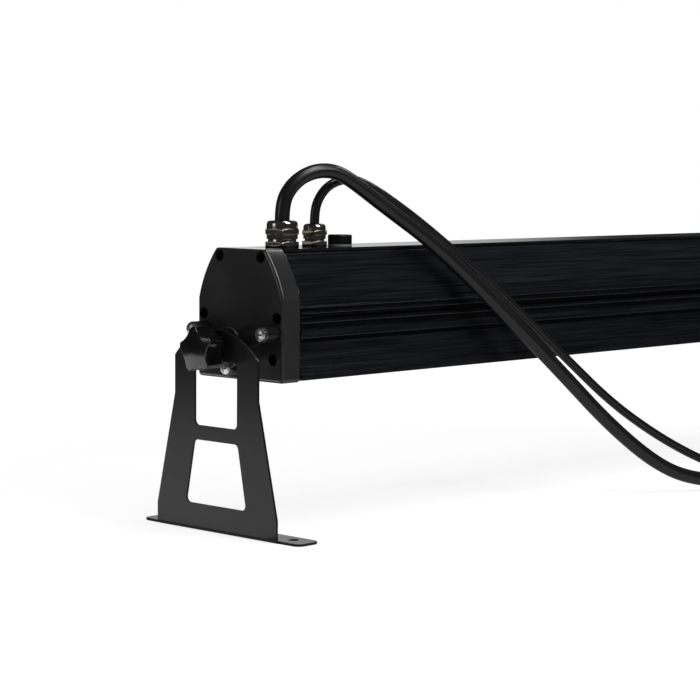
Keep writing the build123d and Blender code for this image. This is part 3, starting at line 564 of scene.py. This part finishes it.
# Head heights and shank radii of the screws, and the sizes of lenses and light points
CAP_HEAD = 0.0030
CAP_SHANK = 0.0025
PIVOT_HEAD = 0.0032
PIVOT_SHANK = 0.0020
BOARD_HEAD = 0.0018
BOARD_SHANK = 0.0015
LENS_NECK = 0.0045
LENS_THROAT = 0.0094
LENS_FLANGE = 0.0020
LENS_DIMPLE = 0.0014
EMITTER_BASE = 0.0006
# Shares of a screw head's radius and height: its bulge, its neck and the slots of its cross
HEAD_BULGE = 1.12
HEAD_NECK = 0.3
SLOT_LENGTH = 1.1
SLOT_WIDTH = 0.26
# Shares of a lens's throat and neck: its dish and its well; share of a light point's width: its dome
LENS_DISH = 0.92
WELL_RADIUS = 0.7
WELL_DEPTH = 0.9
DOME_RADIUS = 0.44
# Sides of round shapes
MANY_SIDES = 28
SOME_SIDES = 20
FEW_SIDES = 16


class Tree:
    """A geometry tree that puts one shape at every place, with named inputs for its sizes."""

    def __init__(self, name, *sizes):
        self.group = bpy.data.node_groups.new(name, "GeometryNodeTree")
        sockets = self.group.interface
        sockets.new_socket("Result", in_out="OUTPUT", socket_type="NodeSocketGeometry")
        self.keys = {}
        self.declare("Places", "Geometry")
        for label in sizes:
            self.declare(label, "Float").subtype = "DISTANCE"
        self.declare("Facing", "Vector")
        self.declare("Finish", "Material")
        self.inputs = self.group.nodes.new("NodeGroupInput").outputs
        self.output = self.group.nodes.new("NodeGroupOutput").inputs["Result"]

    def declare(self, label, kind):
        """A named input of the tree."""
        socket = self.group.interface.new_socket(label, in_out="INPUT", socket_type="NodeSocket" + kind)
        self.keys[label] = socket.identifier
        return socket

    def add(self, kind, wires, **settings):
        """A node with its inputs wired to sockets or set to values; gives its first output."""
        node = self.group.nodes.new(kind)
        for name, value in settings.items():
            setattr(node, name, value)
        for label, value in wires.items():
            for source in value if isinstance(value, list) else [value]:
                if isinstance(source, bpy.types.NodeSocket):
                    self.group.links.new(source, node.inputs[label])
                else:
                    node.inputs[label].default_value = source
        return node.outputs[0]

    def maths(self, operation, first, second):
        """A calculation on two sockets or numbers."""
        node = self.group.nodes.new("ShaderNodeMath")
        node.operation = operation
        for socket, value in zip(node.inputs, (first, second)):
            if isinstance(value, bpy.types.NodeSocket):
                self.group.links.new(value, socket)
            else:
                socket.default_value = value
        return node.outputs[0]

    def vector(self, x, y, z):
        """A vector from three sockets or numbers."""
        return self.add("ShaderNodeCombineXYZ", {"X": x, "Y": y, "Z": z})

    def drum(self, low, high, foot, head, sides):
        """Round body between two heights, with its radius at each."""
        depth = self.maths("SUBTRACT", high, low)
        shape = self.add(
            "GeometryNodeMeshCone",
            {"Vertices": sides, "Radius Bottom": foot, "Radius Top": head, "Depth": depth},
        )
        return self.moved(shape, self.vector(0.0, 0.0, low))

    def ball(self, radius, flat, height, segments):
        """Sphere squeezed to a height, with its middle at a height on Z."""
        wires = {"Segments": segments, "Rings": segments // 2, "Radius": 1.0}
        shape = self.add("GeometryNodeMeshUVSphere", wires)
        return self.moved(shape, self.vector(0.0, 0.0, height), self.vector(radius, radius, flat))

    def moved(self, shape, place, size=(1, 1, 1)):
        """A shape scaled and then moved."""
        return self.add("GeometryNodeTransform", {"Geometry": shape, "Translation": place, "Scale": size})

    def combine(self, operation, *shapes):
        """Shapes joined or intersected."""
        return self.add("GeometryNodeMeshBoolean", {"Mesh 2": list(shapes)}, operation=operation)

    def cut(self, shape, *cutters):
        """A shape with others cut out of it."""
        wires = {"Mesh 1": shape, "Mesh 2": list(cutters)}
        return self.add("GeometryNodeMeshBoolean", wires, operation="DIFFERENCE")

    def spread(self, shape):
        """Puts the shape at every place, turned to face one way, as plain mesh with its finish."""
        turn = self.add("FunctionNodeAlignRotationToVector", {"Vector": self.inputs["Facing"]}, axis="Z")
        many = self.add(
            "GeometryNodeInstanceOnPoints",
            {"Points": self.inputs["Places"], "Instance": shape, "Rotation": turn},
        )
        plain = self.add("GeometryNodeRealizeInstances", {"Geometry": many})
        done = self.add("GeometryNodeSetMaterial", {"Geometry": plain, "Material": self.inputs["Finish"]})
        self.group.links.new(done, self.output)
        return self


def screw_tree():
    """Pan head screw with a cross recess; the underside of its head is at the place."""
    tree = Tree("cross_screws", "Head radius", "Head height", "Shank radius", "Shank length")
    radius, height = tree.inputs["Head radius"], tree.inputs["Head height"]
    rim = tree.drum(0.0, height, radius, radius, MANY_SIDES)
    bulge = tree.maths("MULTIPLY", radius, HEAD_BULGE)
    head = tree.combine("INTERSECT", rim, tree.ball(bulge, height, 0.0, MANY_SIDES))
    tip = tree.maths("MULTIPLY", tree.inputs["Shank length"], -1.0)
    neck = tree.maths("MULTIPLY", height, HEAD_NECK)
    thread = tree.inputs["Shank radius"]
    shank = tree.drum(tip, neck, thread, thread, FEW_SIDES)
    long, wide = (tree.maths("MULTIPLY", radius, share) for share in (SLOT_LENGTH, SLOT_WIDTH))
    top = tree.vector(0.0, 0.0, height)
    slots = [
        tree.moved(tree.add("GeometryNodeMeshCube", {"Size": tree.vector(x, y, height)}), top)
        for x, y in ((long, wide), (wide, long))
    ]
    return tree.spread(tree.cut(tree.combine("UNION", head, shank), *slots))


def lens_tree():
    """Moulded lens with a dished front and a well for its light point; its front is at the place."""
    tree = Tree("lens_field", "Radius", "Height", "Neck", "Throat", "Flange", "Dimple")
    radius, height, flange = tree.inputs["Radius"], tree.inputs["Height"], tree.inputs["Flange"]
    throat, neck, dimple = tree.inputs["Throat"], tree.inputs["Neck"], tree.inputs["Dimple"]
    deep = tree.maths("MULTIPLY", height, -1.0)
    waist = tree.maths("MULTIPLY", flange, -1.0)
    inner = tree.maths("MULTIPLY", flange, -0.5)
    funnel = tree.drum(deep, inner, neck, throat, MANY_SIDES)
    plate = tree.drum(waist, 0.0, radius, radius, MANY_SIDES)
    dish = tree.ball(tree.maths("MULTIPLY", throat, LENS_DISH), dimple, 0.0, MANY_SIDES)
    hollow, depth = (tree.maths("MULTIPLY", neck, share) for share in (WELL_RADIUS, WELL_DEPTH))
    well = tree.ball(hollow, depth, deep, SOME_SIDES)
    return tree.spread(tree.cut(tree.combine("UNION", funnel, plate), dish, well))


def emitter_tree():
    """Light point: a square base with a round dome; the back of its base is at the place."""
    tree = Tree("light_points", "Width", "Height", "Base")
    width, height, base = tree.inputs["Width"], tree.inputs["Height"], tree.inputs["Base"]
    block = tree.moved(
        tree.add("GeometryNodeMeshCube", {"Size": tree.vector(width, width, base)}),
        tree.vector(0.0, 0.0, tree.maths("MULTIPLY", base, 0.5)),
    )
    dome = tree.ball(tree.maths("MULTIPLY", width, DOME_RADIUS), height, 0.0, SOME_SIDES)
    return tree.spread(tree.combine("UNION", block, dome))


def solids(node):
    """Boxes of a node's separate solids, as pairs of low and high corners."""
    work = bmesh.new()
    work.from_mesh(NODES[node].data)
    bmesh.ops.remove_doubles(work, verts=work.verts, dist=WELD_DISTANCE)
    left = set(work.verts)
    boxes = []
    while left:
        ring = [left.pop()]
        corners = []
        while ring:
            vert = ring.pop()
            corners.append(vert.co.copy())
            near = {edge.other_vert(vert) for edge in vert.link_edges} & left
            left -= near
            ring.extend(near)
        low = Vector([min(c[axis] for c in corners) for axis in range(3)])
        high = Vector([max(c[axis] for c in corners) for axis in range(3)])
        boxes.append((low, high))
    work.free()
    return sorted(boxes, key=lambda box: tuple(round(v, 5) for v in box[0]))


def repeat(node, tree, places, finish_name, facing, sizes):
    """One shape at every place, instead of a node's solids."""
    mesh = bpy.data.meshes.new(node + "_places")
    mesh.from_pydata(places, [], [])
    piece = link(node + "_finished", mesh)
    modifier = piece.modifiers.new("repeat", "NODES")
    modifier.node_group = tree.group
    values = {**sizes, "Facing": facing, "Finish": finish(finish_name)}
    for label, value in values.items():
        modifier[tree.keys[label]] = value
    settle(piece)
    shade_evenly(piece)
    return stand_for(piece, node)


def screws(node, tree, finish_name, facing, head, shank):
    """A node's screws, all with their heads the same way."""
    axis = max(range(3), key=lambda i: abs(facing[i]))
    aside = (axis + 1) % 3
    places = []
    for low, high in solids(node):
        place = (low + high) / 2
        tip = high[axis] if facing[axis] > 0 else low[axis]
        place[axis] = tip - facing[axis] * head
        places.append(place)
    sizes = {
        "Head radius": (high[aside] - low[aside]) / 2,
        "Head height": head,
        "Shank radius": shank,
        "Shank length": high[axis] - low[axis] - head,
    }
    return repeat(node, tree, places, finish_name, facing, sizes)


# Cables

POWER_RADIUS = 0.0058
SIGNAL_RADIUS = 0.0037
# Coils: gap between loops, mean radius in cable radii, points in a turn, room for the tie under the loops
COIL_GAP = 0.0008
COIL_ACROSS = 11.0
COIL_STEPS = 16
TIE_ROOM = 0.0018
POWER_TURNS = 2.25
SIGNAL_TURNS = 4.25
# Fineness of a cable along its route and around it
CABLE_STEPS = 8
CABLE_SIDES = 6
# Straight run of each cable before its coil
POWER_RUN = 0.047
SIGNAL_RUN = 0.036

# Places along X are from the near cap's outer face, as in the solids
POWER_COIL = (0.752, -0.094)
SIGNAL_COIL = (0.597, -0.094)
POWER_ROUTE = [
    (0.0452, 0.0, 0.249),
    (0.0513, -0.0022, 0.2615),
    (0.0617, -0.0059, 0.2705),
    (0.0748, -0.0107, 0.275),
    (0.089, -0.0158, 0.274),
    (0.1031, -0.0208, 0.266),
    (0.128, -0.0298, 0.2475),
    (0.175, -0.0467, 0.2145),
    (0.2287, -0.0661, 0.165),
    (0.2823, -0.0854, 0.113),
    (0.335, -0.1043, 0.06),
    (0.3849, -0.1223, 0.0215),
    (0.4263, -0.1372, 0.0085),
    (0.476, -0.152, 0.0062),
    (0.532, -0.163, 0.006),
    (0.592, -0.1685, 0.006),
    (0.645, -0.168, 0.0068),
]
SIGNAL_ROUTE = [
    (0.0809, 0.0, 0.2435),
    (0.0847, -0.0013, 0.254),
    (0.0918, -0.0036, 0.2625),
    (0.1023, -0.0071, 0.2675),
    (0.1137, -0.0108, 0.268),
    (0.1255, -0.0147, 0.2635),
    (0.1436, -0.0207, 0.253),
    (0.1778, -0.032, 0.2295),
    (0.2233, -0.047, 0.193),
    (0.2689, -0.062, 0.154),
    (0.3098, -0.0755, 0.117),
    (0.3525, -0.0896, 0.079),
    (0.3962, -0.104, 0.0495),
    (0.438, -0.1178, 0.027),
    (0.477, -0.1305, 0.0115),
    (0.515, -0.1395, 0.0051),
]


def coil_points(middle, radius, turns):
    """Control points of a two-layer coil: in on the floor, up, and out on top."""
    pitch = 2 * radius + COIL_GAP
    least = COIL_ACROSS * radius - pitch * turns / 4
    low = radius + TIE_ROOM
    step = 2 * math.pi / COIL_STEPS
    points = []
    for i in range(round(turns * COIL_STEPS)):
        angle = (i + 0.5) * step
        past = angle - math.pi * turns
        reach = (least + pitch * abs(past) / (2 * math.pi)) / math.cos(step / 2)
        share = min(max(past / math.pi + 0.5, 0), 1)
        height = low + pitch * share * share * (3 - 2 * share)
        way = angle - math.pi / 2
        points.append((middle[0] + reach * math.cos(way), middle[1] + reach * math.sin(way), height))
    return points


def cable_route(prefix, route, coil, radius, turns, run_in):
    """All control points of a cable, from its gland's mouth to its connector's back."""
    middle = (NEAR_FACE + coil[0], coil[1])
    mouth = centre(prefix + "_gland_nut")
    mouth.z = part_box(prefix + "_gland_nut")[1].z
    hang = [(NEAR_FACE + x, y, z) for x, y, z in route]
    pitch = 2 * radius + COIL_GAP
    outer = COIL_ACROSS * radius + pitch * turns / 4
    low = radius + TIE_ROOM
    start = (middle[0] - 2 * radius, middle[1] - outer, low)
    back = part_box(prefix + "_connector_body")
    axis = centre(prefix + "_connector_body")
    leave = middle[1]
    landing = back[0].y - 2 * radius
    tail = [
        (axis.x, leave + 0.25 * (landing - leave), low + pitch),
        (axis.x, leave + 0.75 * (landing - leave), axis.z),
        (axis.x, back[0].y + radius, axis.z),
    ]
    return [
        tuple(mouth), *hang, (start[0] - run_in, start[1], low), start,
        *coil_points(middle, radius, turns), *tail,
    ]


def make_cable(prefix, points, radius):
    """One cable as a single smooth spline with a round section."""
    curve = bpy.data.curves.new(prefix + "_lead", "CURVE")
    curve.dimensions = "3D"
    spline = curve.splines.new("NURBS")
    spline.points.add(len(points) - 1)
    for point, place in zip(spline.points, points):
        point.co = (*place, 1)
    spline.order_u = 3
    spline.use_endpoint_u = True
    spline.resolution_u = CABLE_STEPS
    curve.bevel_depth = radius
    curve.bevel_resolution = CABLE_SIDES
    curve.use_fill_caps = True
    curve.materials.append(finish("cable_rubber"))
    lead = stand_for(link(prefix + "_lead", curve), prefix + "_cable", prefix + "_coil")


class FLOODLIGHT_OT_cables(bpy.types.Operator):
    """Both free cables with their ties and connectors"""

    bl_idname = "floodlight.cables"
    bl_label = "Cables and connectors"

    def execute(self, context):
        for prefix in CABLES:
            dress(prefix + "_coil_tie", "black_plastic", SMALL_EDGE)
            dress(prefix + "_connector_body", "black_plastic", MOULDED_EDGE)
            dress(prefix + "_connector_collar", "black_plastic", SMALL_EDGE)
            dress(prefix + "_connector_insert", "grey_plastic", SMALL_EDGE)
        power = cable_route("power", POWER_ROUTE, POWER_COIL, POWER_RADIUS, POWER_TURNS, POWER_RUN)
        signal = cable_route("signal", SIGNAL_ROUTE, SIGNAL_COIL, SIGNAL_RADIUS, SIGNAL_TURNS, SIGNAL_RUN)
        make_cable("power", power, POWER_RADIUS)
        make_cable("signal", signal, SIGNAL_RADIUS)
        return {"FINISHED"}


# Operators for the other groups

# Above this height the extrusion's edges are as dark as its faces: the painted edge highlight is left off the
# top and upper slope, so the groove under the top edge stays dark as its shade
DULL_EDGES = 0.2
# Beyond this distance from the bar's middle a cap is its columns, with a darker and duller finish than the
# cap's paint: painted shade for the columns in the gap behind the pivot plate
FACE_MARGIN = 0.0001
COLUMN_START = FACE_MARGIN - NEAR_FACE


class FLOODLIGHT_OT_housing(bpy.types.Operator):
    """Extruded housing with softened fin edges"""

    bl_idname = "floodlight.housing"
    bl_label = "Housing"

    def execute(self, context):
        # The rounding faces take the brighter edge finish, partly edge wear and partly a painted highlight.
        piece = dress("housing_profile", "black_anodised", FIN_EDGE, edge_finish="anodised_edge_wear_and_painted_highlight")
        # Edges high on the bar go back to the plain anodising, with no painted highlight where shade falls
        # under the top edge.
        for face in piece.data.polygons:
            if face.center.z > DULL_EDGES:
                face.material_index = 0
        return {"FINISHED"}


class FLOODLIGHT_OT_ends(bpy.types.Operator):
    """End caps, gaskets and pivots"""

    bl_idname = "floodlight.ends"
    bl_label = "End caps and pivots"

    def execute(self, context):
        tree = screw_tree()
        for end, outward in zip(ENDS, (-1.0, 1.0)):
            cap = dress("end_cap_" + end, "black_cast", NO_EDGE)
            # The columns take the black plastic finish, darker than the cap's paint: painted shade where they
            # stand behind the pivot plate.
            cap.data.materials.append(finish("black_plastic"))
            for face in cap.data.polygons:
                if abs(face.center.x) > COLUMN_START:
                    face.material_index = 1
            dress("pivot_plate_" + end, "black_cast")
            paint("end_gasket_" + end, "seal_rubber")
            dress("pivot_stud_" + end, "bright_zinc", SMALL_EDGE)
            dress("friction_washer_" + end, "black_plastic", SMALL_EDGE)
            facing = (outward, 0.0, 0.0)
            screws("cap_screws_" + end, tree, "black_oxide", facing, CAP_HEAD, CAP_SHANK)
            screws("pivot_screws_" + end, tree, "bright_zinc", facing, PIVOT_HEAD, PIVOT_SHANK)
        return {"FINISHED"}


class FLOODLIGHT_OT_feet(bpy.types.Operator):
    """Sheet metal feet, clamp washers and star knobs"""

    bl_idname = "floodlight.feet"
    bl_label = "Feet and knobs"

    def execute(self, context):
        for end in ENDS:
            dress("foot_" + end, "charcoal_coat", SHEET_EDGE)
            dress("knob_washer_" + end, "black_oxide", SMALL_EDGE)
            dress("knob_" + end, "gloss_plastic", NO_EDGE)
        return {"FINISHED"}


class FLOODLIGHT_OT_glands(bpy.types.Operator):
    """Cable glands and the breather plug"""

    bl_idname = "floodlight.glands"
    bl_label = "Glands and breather"

    def execute(self, context):
        for prefix in CABLES:
            for piece in ("body", "nut", "locknut"):
                dress(f"{prefix}_gland_{piece}", "nickel_plate", SHEET_EDGE)
            paint(prefix + "_gland_seal", "seal_rubber")
            paint(prefix + "_gland_gasket", "seal_rubber")
        dress("vent_plug", "black_plastic")
        dress("vent_seal", "grey_plastic", SMALL_EDGE)
        return {"FINISHED"}


class FLOODLIGHT_OT_optics(bpy.types.Operator):
    """Glass, lenses, light points and their board"""

    bl_idname = "floodlight.optics"
    bl_label = "Optics"

    def execute(self, context):
        dress("cover_glass", "clear_glass", MOULDED_EDGE)
        paint("glass_seal", "seal_rubber")
        paint("led_board", "white_board")
        paint("lens_tray", "black_plastic")
        down = (0.0, 0.0, -1.0)
        screws("board_screws", screw_tree(), "bright_zinc", down, BOARD_HEAD, BOARD_SHANK)

        boxes = solids("lenses")
        low, high = boxes[0]
        fronts = [((a.x + b.x) / 2, (a.y + b.y) / 2, a.z) for a, b in boxes]
        repeat("lenses", lens_tree(), fronts, "clear_acrylic", down, {
            "Radius": (high.x - low.x) / 2, "Height": high.z - low.z, "Neck": LENS_NECK,
            "Throat": LENS_THROAT, "Flange": LENS_FLANGE, "Dimple": LENS_DIMPLE,
        })

        boxes = solids("led_emitters")
        low, high = boxes[0]
        backs = [((a.x + b.x) / 2, (a.y + b.y) / 2, b.z) for a, b in boxes]
        repeat("led_emitters", emitter_tree(), backs, "phosphor", down, {
            "Width": high.x - low.x, "Height": high.z - low.z, "Base": EMITTER_BASE,
        })
        return {"FINISHED"}


class FLOODLIGHT_OT_inside(bpy.types.Operator):
    """Driver, control board and the wires inside the housing"""

    bl_idname = "floodlight.inside"
    bl_label = "Inside"

    def execute(self, context):
        paint("driver_chassis", "plain_aluminium")
        paint("driver_case", "plain_aluminium")
        paint("control_board", "green_board")
        paint("control_chips", "black_plastic")
        for node in ("power_inner_cable", "signal_inner_cable", "board_lead"):
            paint(node, "cable_rubber")
        return {"FINISHED"}


# Stage

# Share of the paper's plain white that gloss shows on top of the light it gets
GLOSS_SHARE = 0.25
# Cosines of the angles at which the mirrored backdrop ends and is full
BACKDROP_EDGE = 0.982
BACKDROP_FULL = 0.999
# Turn of its middle towards the picture's left
BACKDROP_TURN = math.radians(3)
# The paper's grey under the lamps, and its reach in the picture from its origin
PAPER_SHADE = 0.4
PAPER_LEFT = 0.9
PAPER_RIGHT = 0.72
PAPER_FRONT = 1.6
PAPER_BACK = 1.5
PAPER_ORIGIN = Vector((-0.25, 0, 0))
# Distances from there at which the paper starts to rise to plain white, and reaches it
SHADOW_REACH = 0.4
WHITE_REACH = 0.9
# The left light lies on the paper and points up, as the bright sweep of a studio does
BOUNCE_PLACE = Vector((-0.828, 0.33, 0.002))
BOUNCE_LENGTH = 0.6
BOUNCE_WIDTH = 0.76
# Camera: sensor width in millimetres and furthest view in metres
SENSOR_WIDTH = 36
VIEW_RANGE = 50
# The other lamps stand around the near end and point at it
LIT_POINT = Vector((-0.45, 0, 0.18))


def aim(direction, up):
    """Turn that points an object's -Z along a direction."""
    back = -Vector(direction).normalized()
    right = Vector(up).cross(back).normalized()
    return Matrix((right, back.cross(right), back)).transposed().to_4x4()


def soft_light(name, place, target, up, width, height, power):
    """Large soft studio lamp that points at a target, with its height along a direction."""
    data = bpy.data.lights.new(name, "AREA")
    data.shape = "RECTANGLE"
    data.size = width
    data.size_y = height
    data.energy = power
    lamp = link(name, data)
    lamp.visible_camera = False
    lamp.matrix_world = Matrix.Translation(place) @ aim(target - place, up)


def seen_rays(nodes, links):
    """Two values: 1 for rays to the camera or through glass, and 1 for rays in gloss."""
    path = nodes.new("ShaderNodeLightPath")
    total = nodes.new("ShaderNodeMath")
    total.operation = "ADD"
    links.new(path.outputs["Is Camera Ray"], total.inputs[0])
    links.new(path.outputs["Is Transmission Ray"], total.inputs[1])
    return total.outputs[0], path.outputs["Is Glossy Ray"]


def arithmetic(nodes, links, operation, first, second):
    """Math node on two sockets or numbers, held between 0 and 1."""
    node = nodes.new("ShaderNodeMath")
    node.operation = operation
    node.use_clamp = True
    for socket, value in zip(node.inputs, (first, second)):
        if isinstance(value, (int, float)):
            socket.default_value = value
        else:
            links.new(value, socket)
    return node.outputs[0]


def floor_material(glow_share):
    """White floor that shows white and still takes a faint shadow."""
    material = bpy.data.materials.new("studio_floor")
    material.use_nodes = True
    nodes, links = material.node_tree.nodes, material.node_tree.links
    nodes.clear()
    output = nodes.new("ShaderNodeOutputMaterial")
    matte = nodes.new("ShaderNodeBsdfDiffuse")
    matte.inputs["Color"].default_value = (PAPER_SHADE, PAPER_SHADE, PAPER_SHADE, 1)
    glow = nodes.new("ShaderNodeEmission")
    glow.inputs["Color"].default_value = (1, 1, 1, 1)
    place = nodes.new("ShaderNodeTexCoord")
    apart = nodes.new("ShaderNodeVectorMath")
    apart.operation = "DISTANCE"
    apart.inputs[1].default_value = PAPER_ORIGIN
    rise = nodes.new("ShaderNodeMapRange")
    rise.interpolation_type = "SMOOTHSTEP"
    rise.inputs["From Min"].default_value = SHADOW_REACH
    rise.inputs["From Max"].default_value = WHITE_REACH
    rise.inputs["To Min"].default_value = glow_share
    rise.inputs["To Max"].default_value = 1.0
    links.new(place.outputs["Object"], apart.inputs[0])
    links.new(apart.outputs["Value"], rise.inputs["Value"])
    direct, gloss = seen_rays(nodes, links)
    shown = arithmetic(nodes, links, "MULTIPLY", gloss, GLOSS_SHARE)
    seen = arithmetic(nodes, links, "ADD", direct, shown)
    white = arithmetic(nodes, links, "MULTIPLY", seen, rise.outputs["Result"])
    links.new(white, glow.inputs["Strength"])
    both = nodes.new("ShaderNodeAddShader")
    links.new(matte.outputs[0], both.inputs[0])
    links.new(glow.outputs[0], both.inputs[1])
    links.new(both.outputs[0], output.inputs["Surface"])
    return material


def studio_world(view, fill):
    """White surroundings for the eye; in gloss, a white backdrop in a dim studio."""
    world = bpy.data.worlds.new("studio")
    bpy.context.scene.world = world
    world.use_nodes = True
    nodes, links = world.node_tree.nodes, world.node_tree.links
    nodes.clear()
    output = nodes.new("ShaderNodeOutputWorld")
    place = nodes.new("ShaderNodeTexCoord")
    along = nodes.new("ShaderNodeVectorMath")
    along.operation = "DOT_PRODUCT"
    mirrored_view = Vector((view.x, view.y, -view.z))
    along.inputs[1].default_value = Matrix.Rotation(BACKDROP_TURN, 3, "Z") @ mirrored_view
    spread = nodes.new("ShaderNodeMapRange")
    spread.interpolation_type = "SMOOTHSTEP"
    spread.inputs["From Min"].default_value = BACKDROP_EDGE
    spread.inputs["From Max"].default_value = BACKDROP_FULL
    studio = nodes.new("ShaderNodeBackground")
    studio.inputs["Color"].default_value = (1, 1, 1, 1)
    links.new(place.outputs["Generated"], along.inputs[0])
    links.new(along.outputs["Value"], spread.inputs["Value"])
    direct, gloss = seen_rays(nodes, links)
    backdrop = spread.outputs["Result"]
    mirrored = arithmetic(nodes, links, "MULTIPLY", gloss, backdrop)
    seen = arithmetic(nodes, links, "ADD", direct, mirrored)
    links.new(arithmetic(nodes, links, "MAXIMUM", seen, fill), studio.inputs["Strength"])
    links.new(studio.outputs[0], output.inputs["Surface"])


class FLOODLIGHT_OT_stage(bpy.types.Operator):
    """Camera, floor, soft lights and white surroundings"""

    bl_idname = "floodlight.stage"
    bl_label = "Stage"

    def execute(self, context):
        stage = context.scene.floodlight_stage
        view = Vector((
            math.sin(stage.yaw) * math.cos(stage.pitch),
            math.cos(stage.yaw) * math.cos(stage.pitch),
            math.sin(stage.pitch),
        ))
        data = bpy.data.cameras.new("photo_view")
        data.sensor_width = SENSOR_WIDTH
        data.lens = stage.focal
        data.clip_end = VIEW_RANGE
        camera = link("photo_view", data)
        camera.matrix_world = (
            Matrix.Translation(stage.station) @ aim(view, (0, 0, 1)) @ Matrix.Rotation(stage.roll, 4, "Z")
        )
        context.scene.camera = camera
        context.scene.view_settings.view_transform = "Standard"

        mesh = bpy.data.meshes.new("studio_floor")
        ahead = Vector((view.x, view.y, 0)).normalized()
        aside = Vector((ahead.y, -ahead.x, 0))
        mesh.from_pydata(
            [
                PAPER_ORIGIN + across * aside + reach * ahead
                for across, reach in (
                    (-PAPER_LEFT, -PAPER_FRONT), (PAPER_RIGHT, -PAPER_FRONT),
                    (PAPER_RIGHT, PAPER_BACK), (-PAPER_LEFT, PAPER_BACK),
                )
            ],
            [], [(0, 1, 2, 3)],
        )
        floor = link("studio_floor", mesh)
        mesh.materials.append(floor_material(stage.floor_glow))
        studio_world(view, stage.fill)
        # Place from the lit point and direction of the height, as across, nearer and up; width, height, power
        lamps = (
            ("top_light", (0.44, 0.36, 1.11), (0.51, 0.72, -0.47), 0.35, 1.05, stage.top_power),
            ("right_light", (1.0, 0.65, 0.8), (0, 0, 1), 0.5, 0.45, stage.right_power),
            ("rim_light", (0.85, -0.7, 1.05), (0, 0, 1), 0.3, 0.3, stage.rim_power),
            ("glint_light", (-1.0, 0.55, 0.3), (0, 0, 1), 0.45, 0.4, stage.glint_power),
        )
        for name, place, along, width, height, power in lamps:
            offset, up = (
                across * aside - nearer * ahead + Vector((0, 0, rise))
                for across, nearer, rise in (place, along)
            )
            soft_light(name, LIT_POINT + offset, LIT_POINT, up, width, height, power)
        above = BOUNCE_PLACE + Vector((0, 0, 1))
        sideways = Vector((0, 1, 0))
        soft_light(
            "left_light", BOUNCE_PLACE, above, sideways, BOUNCE_LENGTH, BOUNCE_WIDTH, stage.left_power,
        )
        return {"FINISHED"}


class FLOODLIGHT_PT_pieces(bpy.types.Panel):
    """Lists the lamp's groups and their settings"""

    bl_idname = "FLOODLIGHT_PT_pieces"
    bl_label = "Linear floodlight"
    bl_space_type = "VIEW_3D"
    bl_region_type = "UI"
    bl_category = "Floodlight"

    def draw(self, context):
        for operator in OPERATORS:
            self.layout.operator(operator.bl_idname)
        for group in (context.scene.floodlight_finishes, context.scene.floodlight_stage):
            box = self.layout.box()
            for name in group.bl_rna.properties.keys():
                if name not in ("name", "rna_type"):
                    box.prop(group, name)


OPERATORS = (
    FLOODLIGHT_OT_stage, FLOODLIGHT_OT_cables, FLOODLIGHT_OT_housing, FLOODLIGHT_OT_ends,
    FLOODLIGHT_OT_feet, FLOODLIGHT_OT_glands, FLOODLIGHT_OT_optics, FLOODLIGHT_OT_inside,
)
CLASSES = (FloodlightFinishes, FloodlightStage, *OPERATORS, FLOODLIGHT_PT_pieces)


def register():
    for cls in CLASSES:
        bpy.utils.register_class(cls)
    bpy.types.Scene.floodlight_finishes = bpy.props.PointerProperty(type=FloodlightFinishes)
    bpy.types.Scene.floodlight_stage = bpy.props.PointerProperty(type=FloodlightStage)


def unregister():
    del bpy.types.Scene.floodlight_stage
    del bpy.types.Scene.floodlight_finishes
    for cls in reversed(CLASSES):
        bpy.utils.unregister_class(cls)


def main():
    register()
    bpy.ops.floodlight.stage()
    bpy.ops.floodlight.cables()
    bpy.ops.floodlight.housing()
    bpy.ops.floodlight.ends()
    bpy.ops.floodlight.feet()
    bpy.ops.floodlight.glands()
    bpy.ops.floodlight.optics()
    bpy.ops.floodlight.inside()


if __name__ == "__main__":
    main()
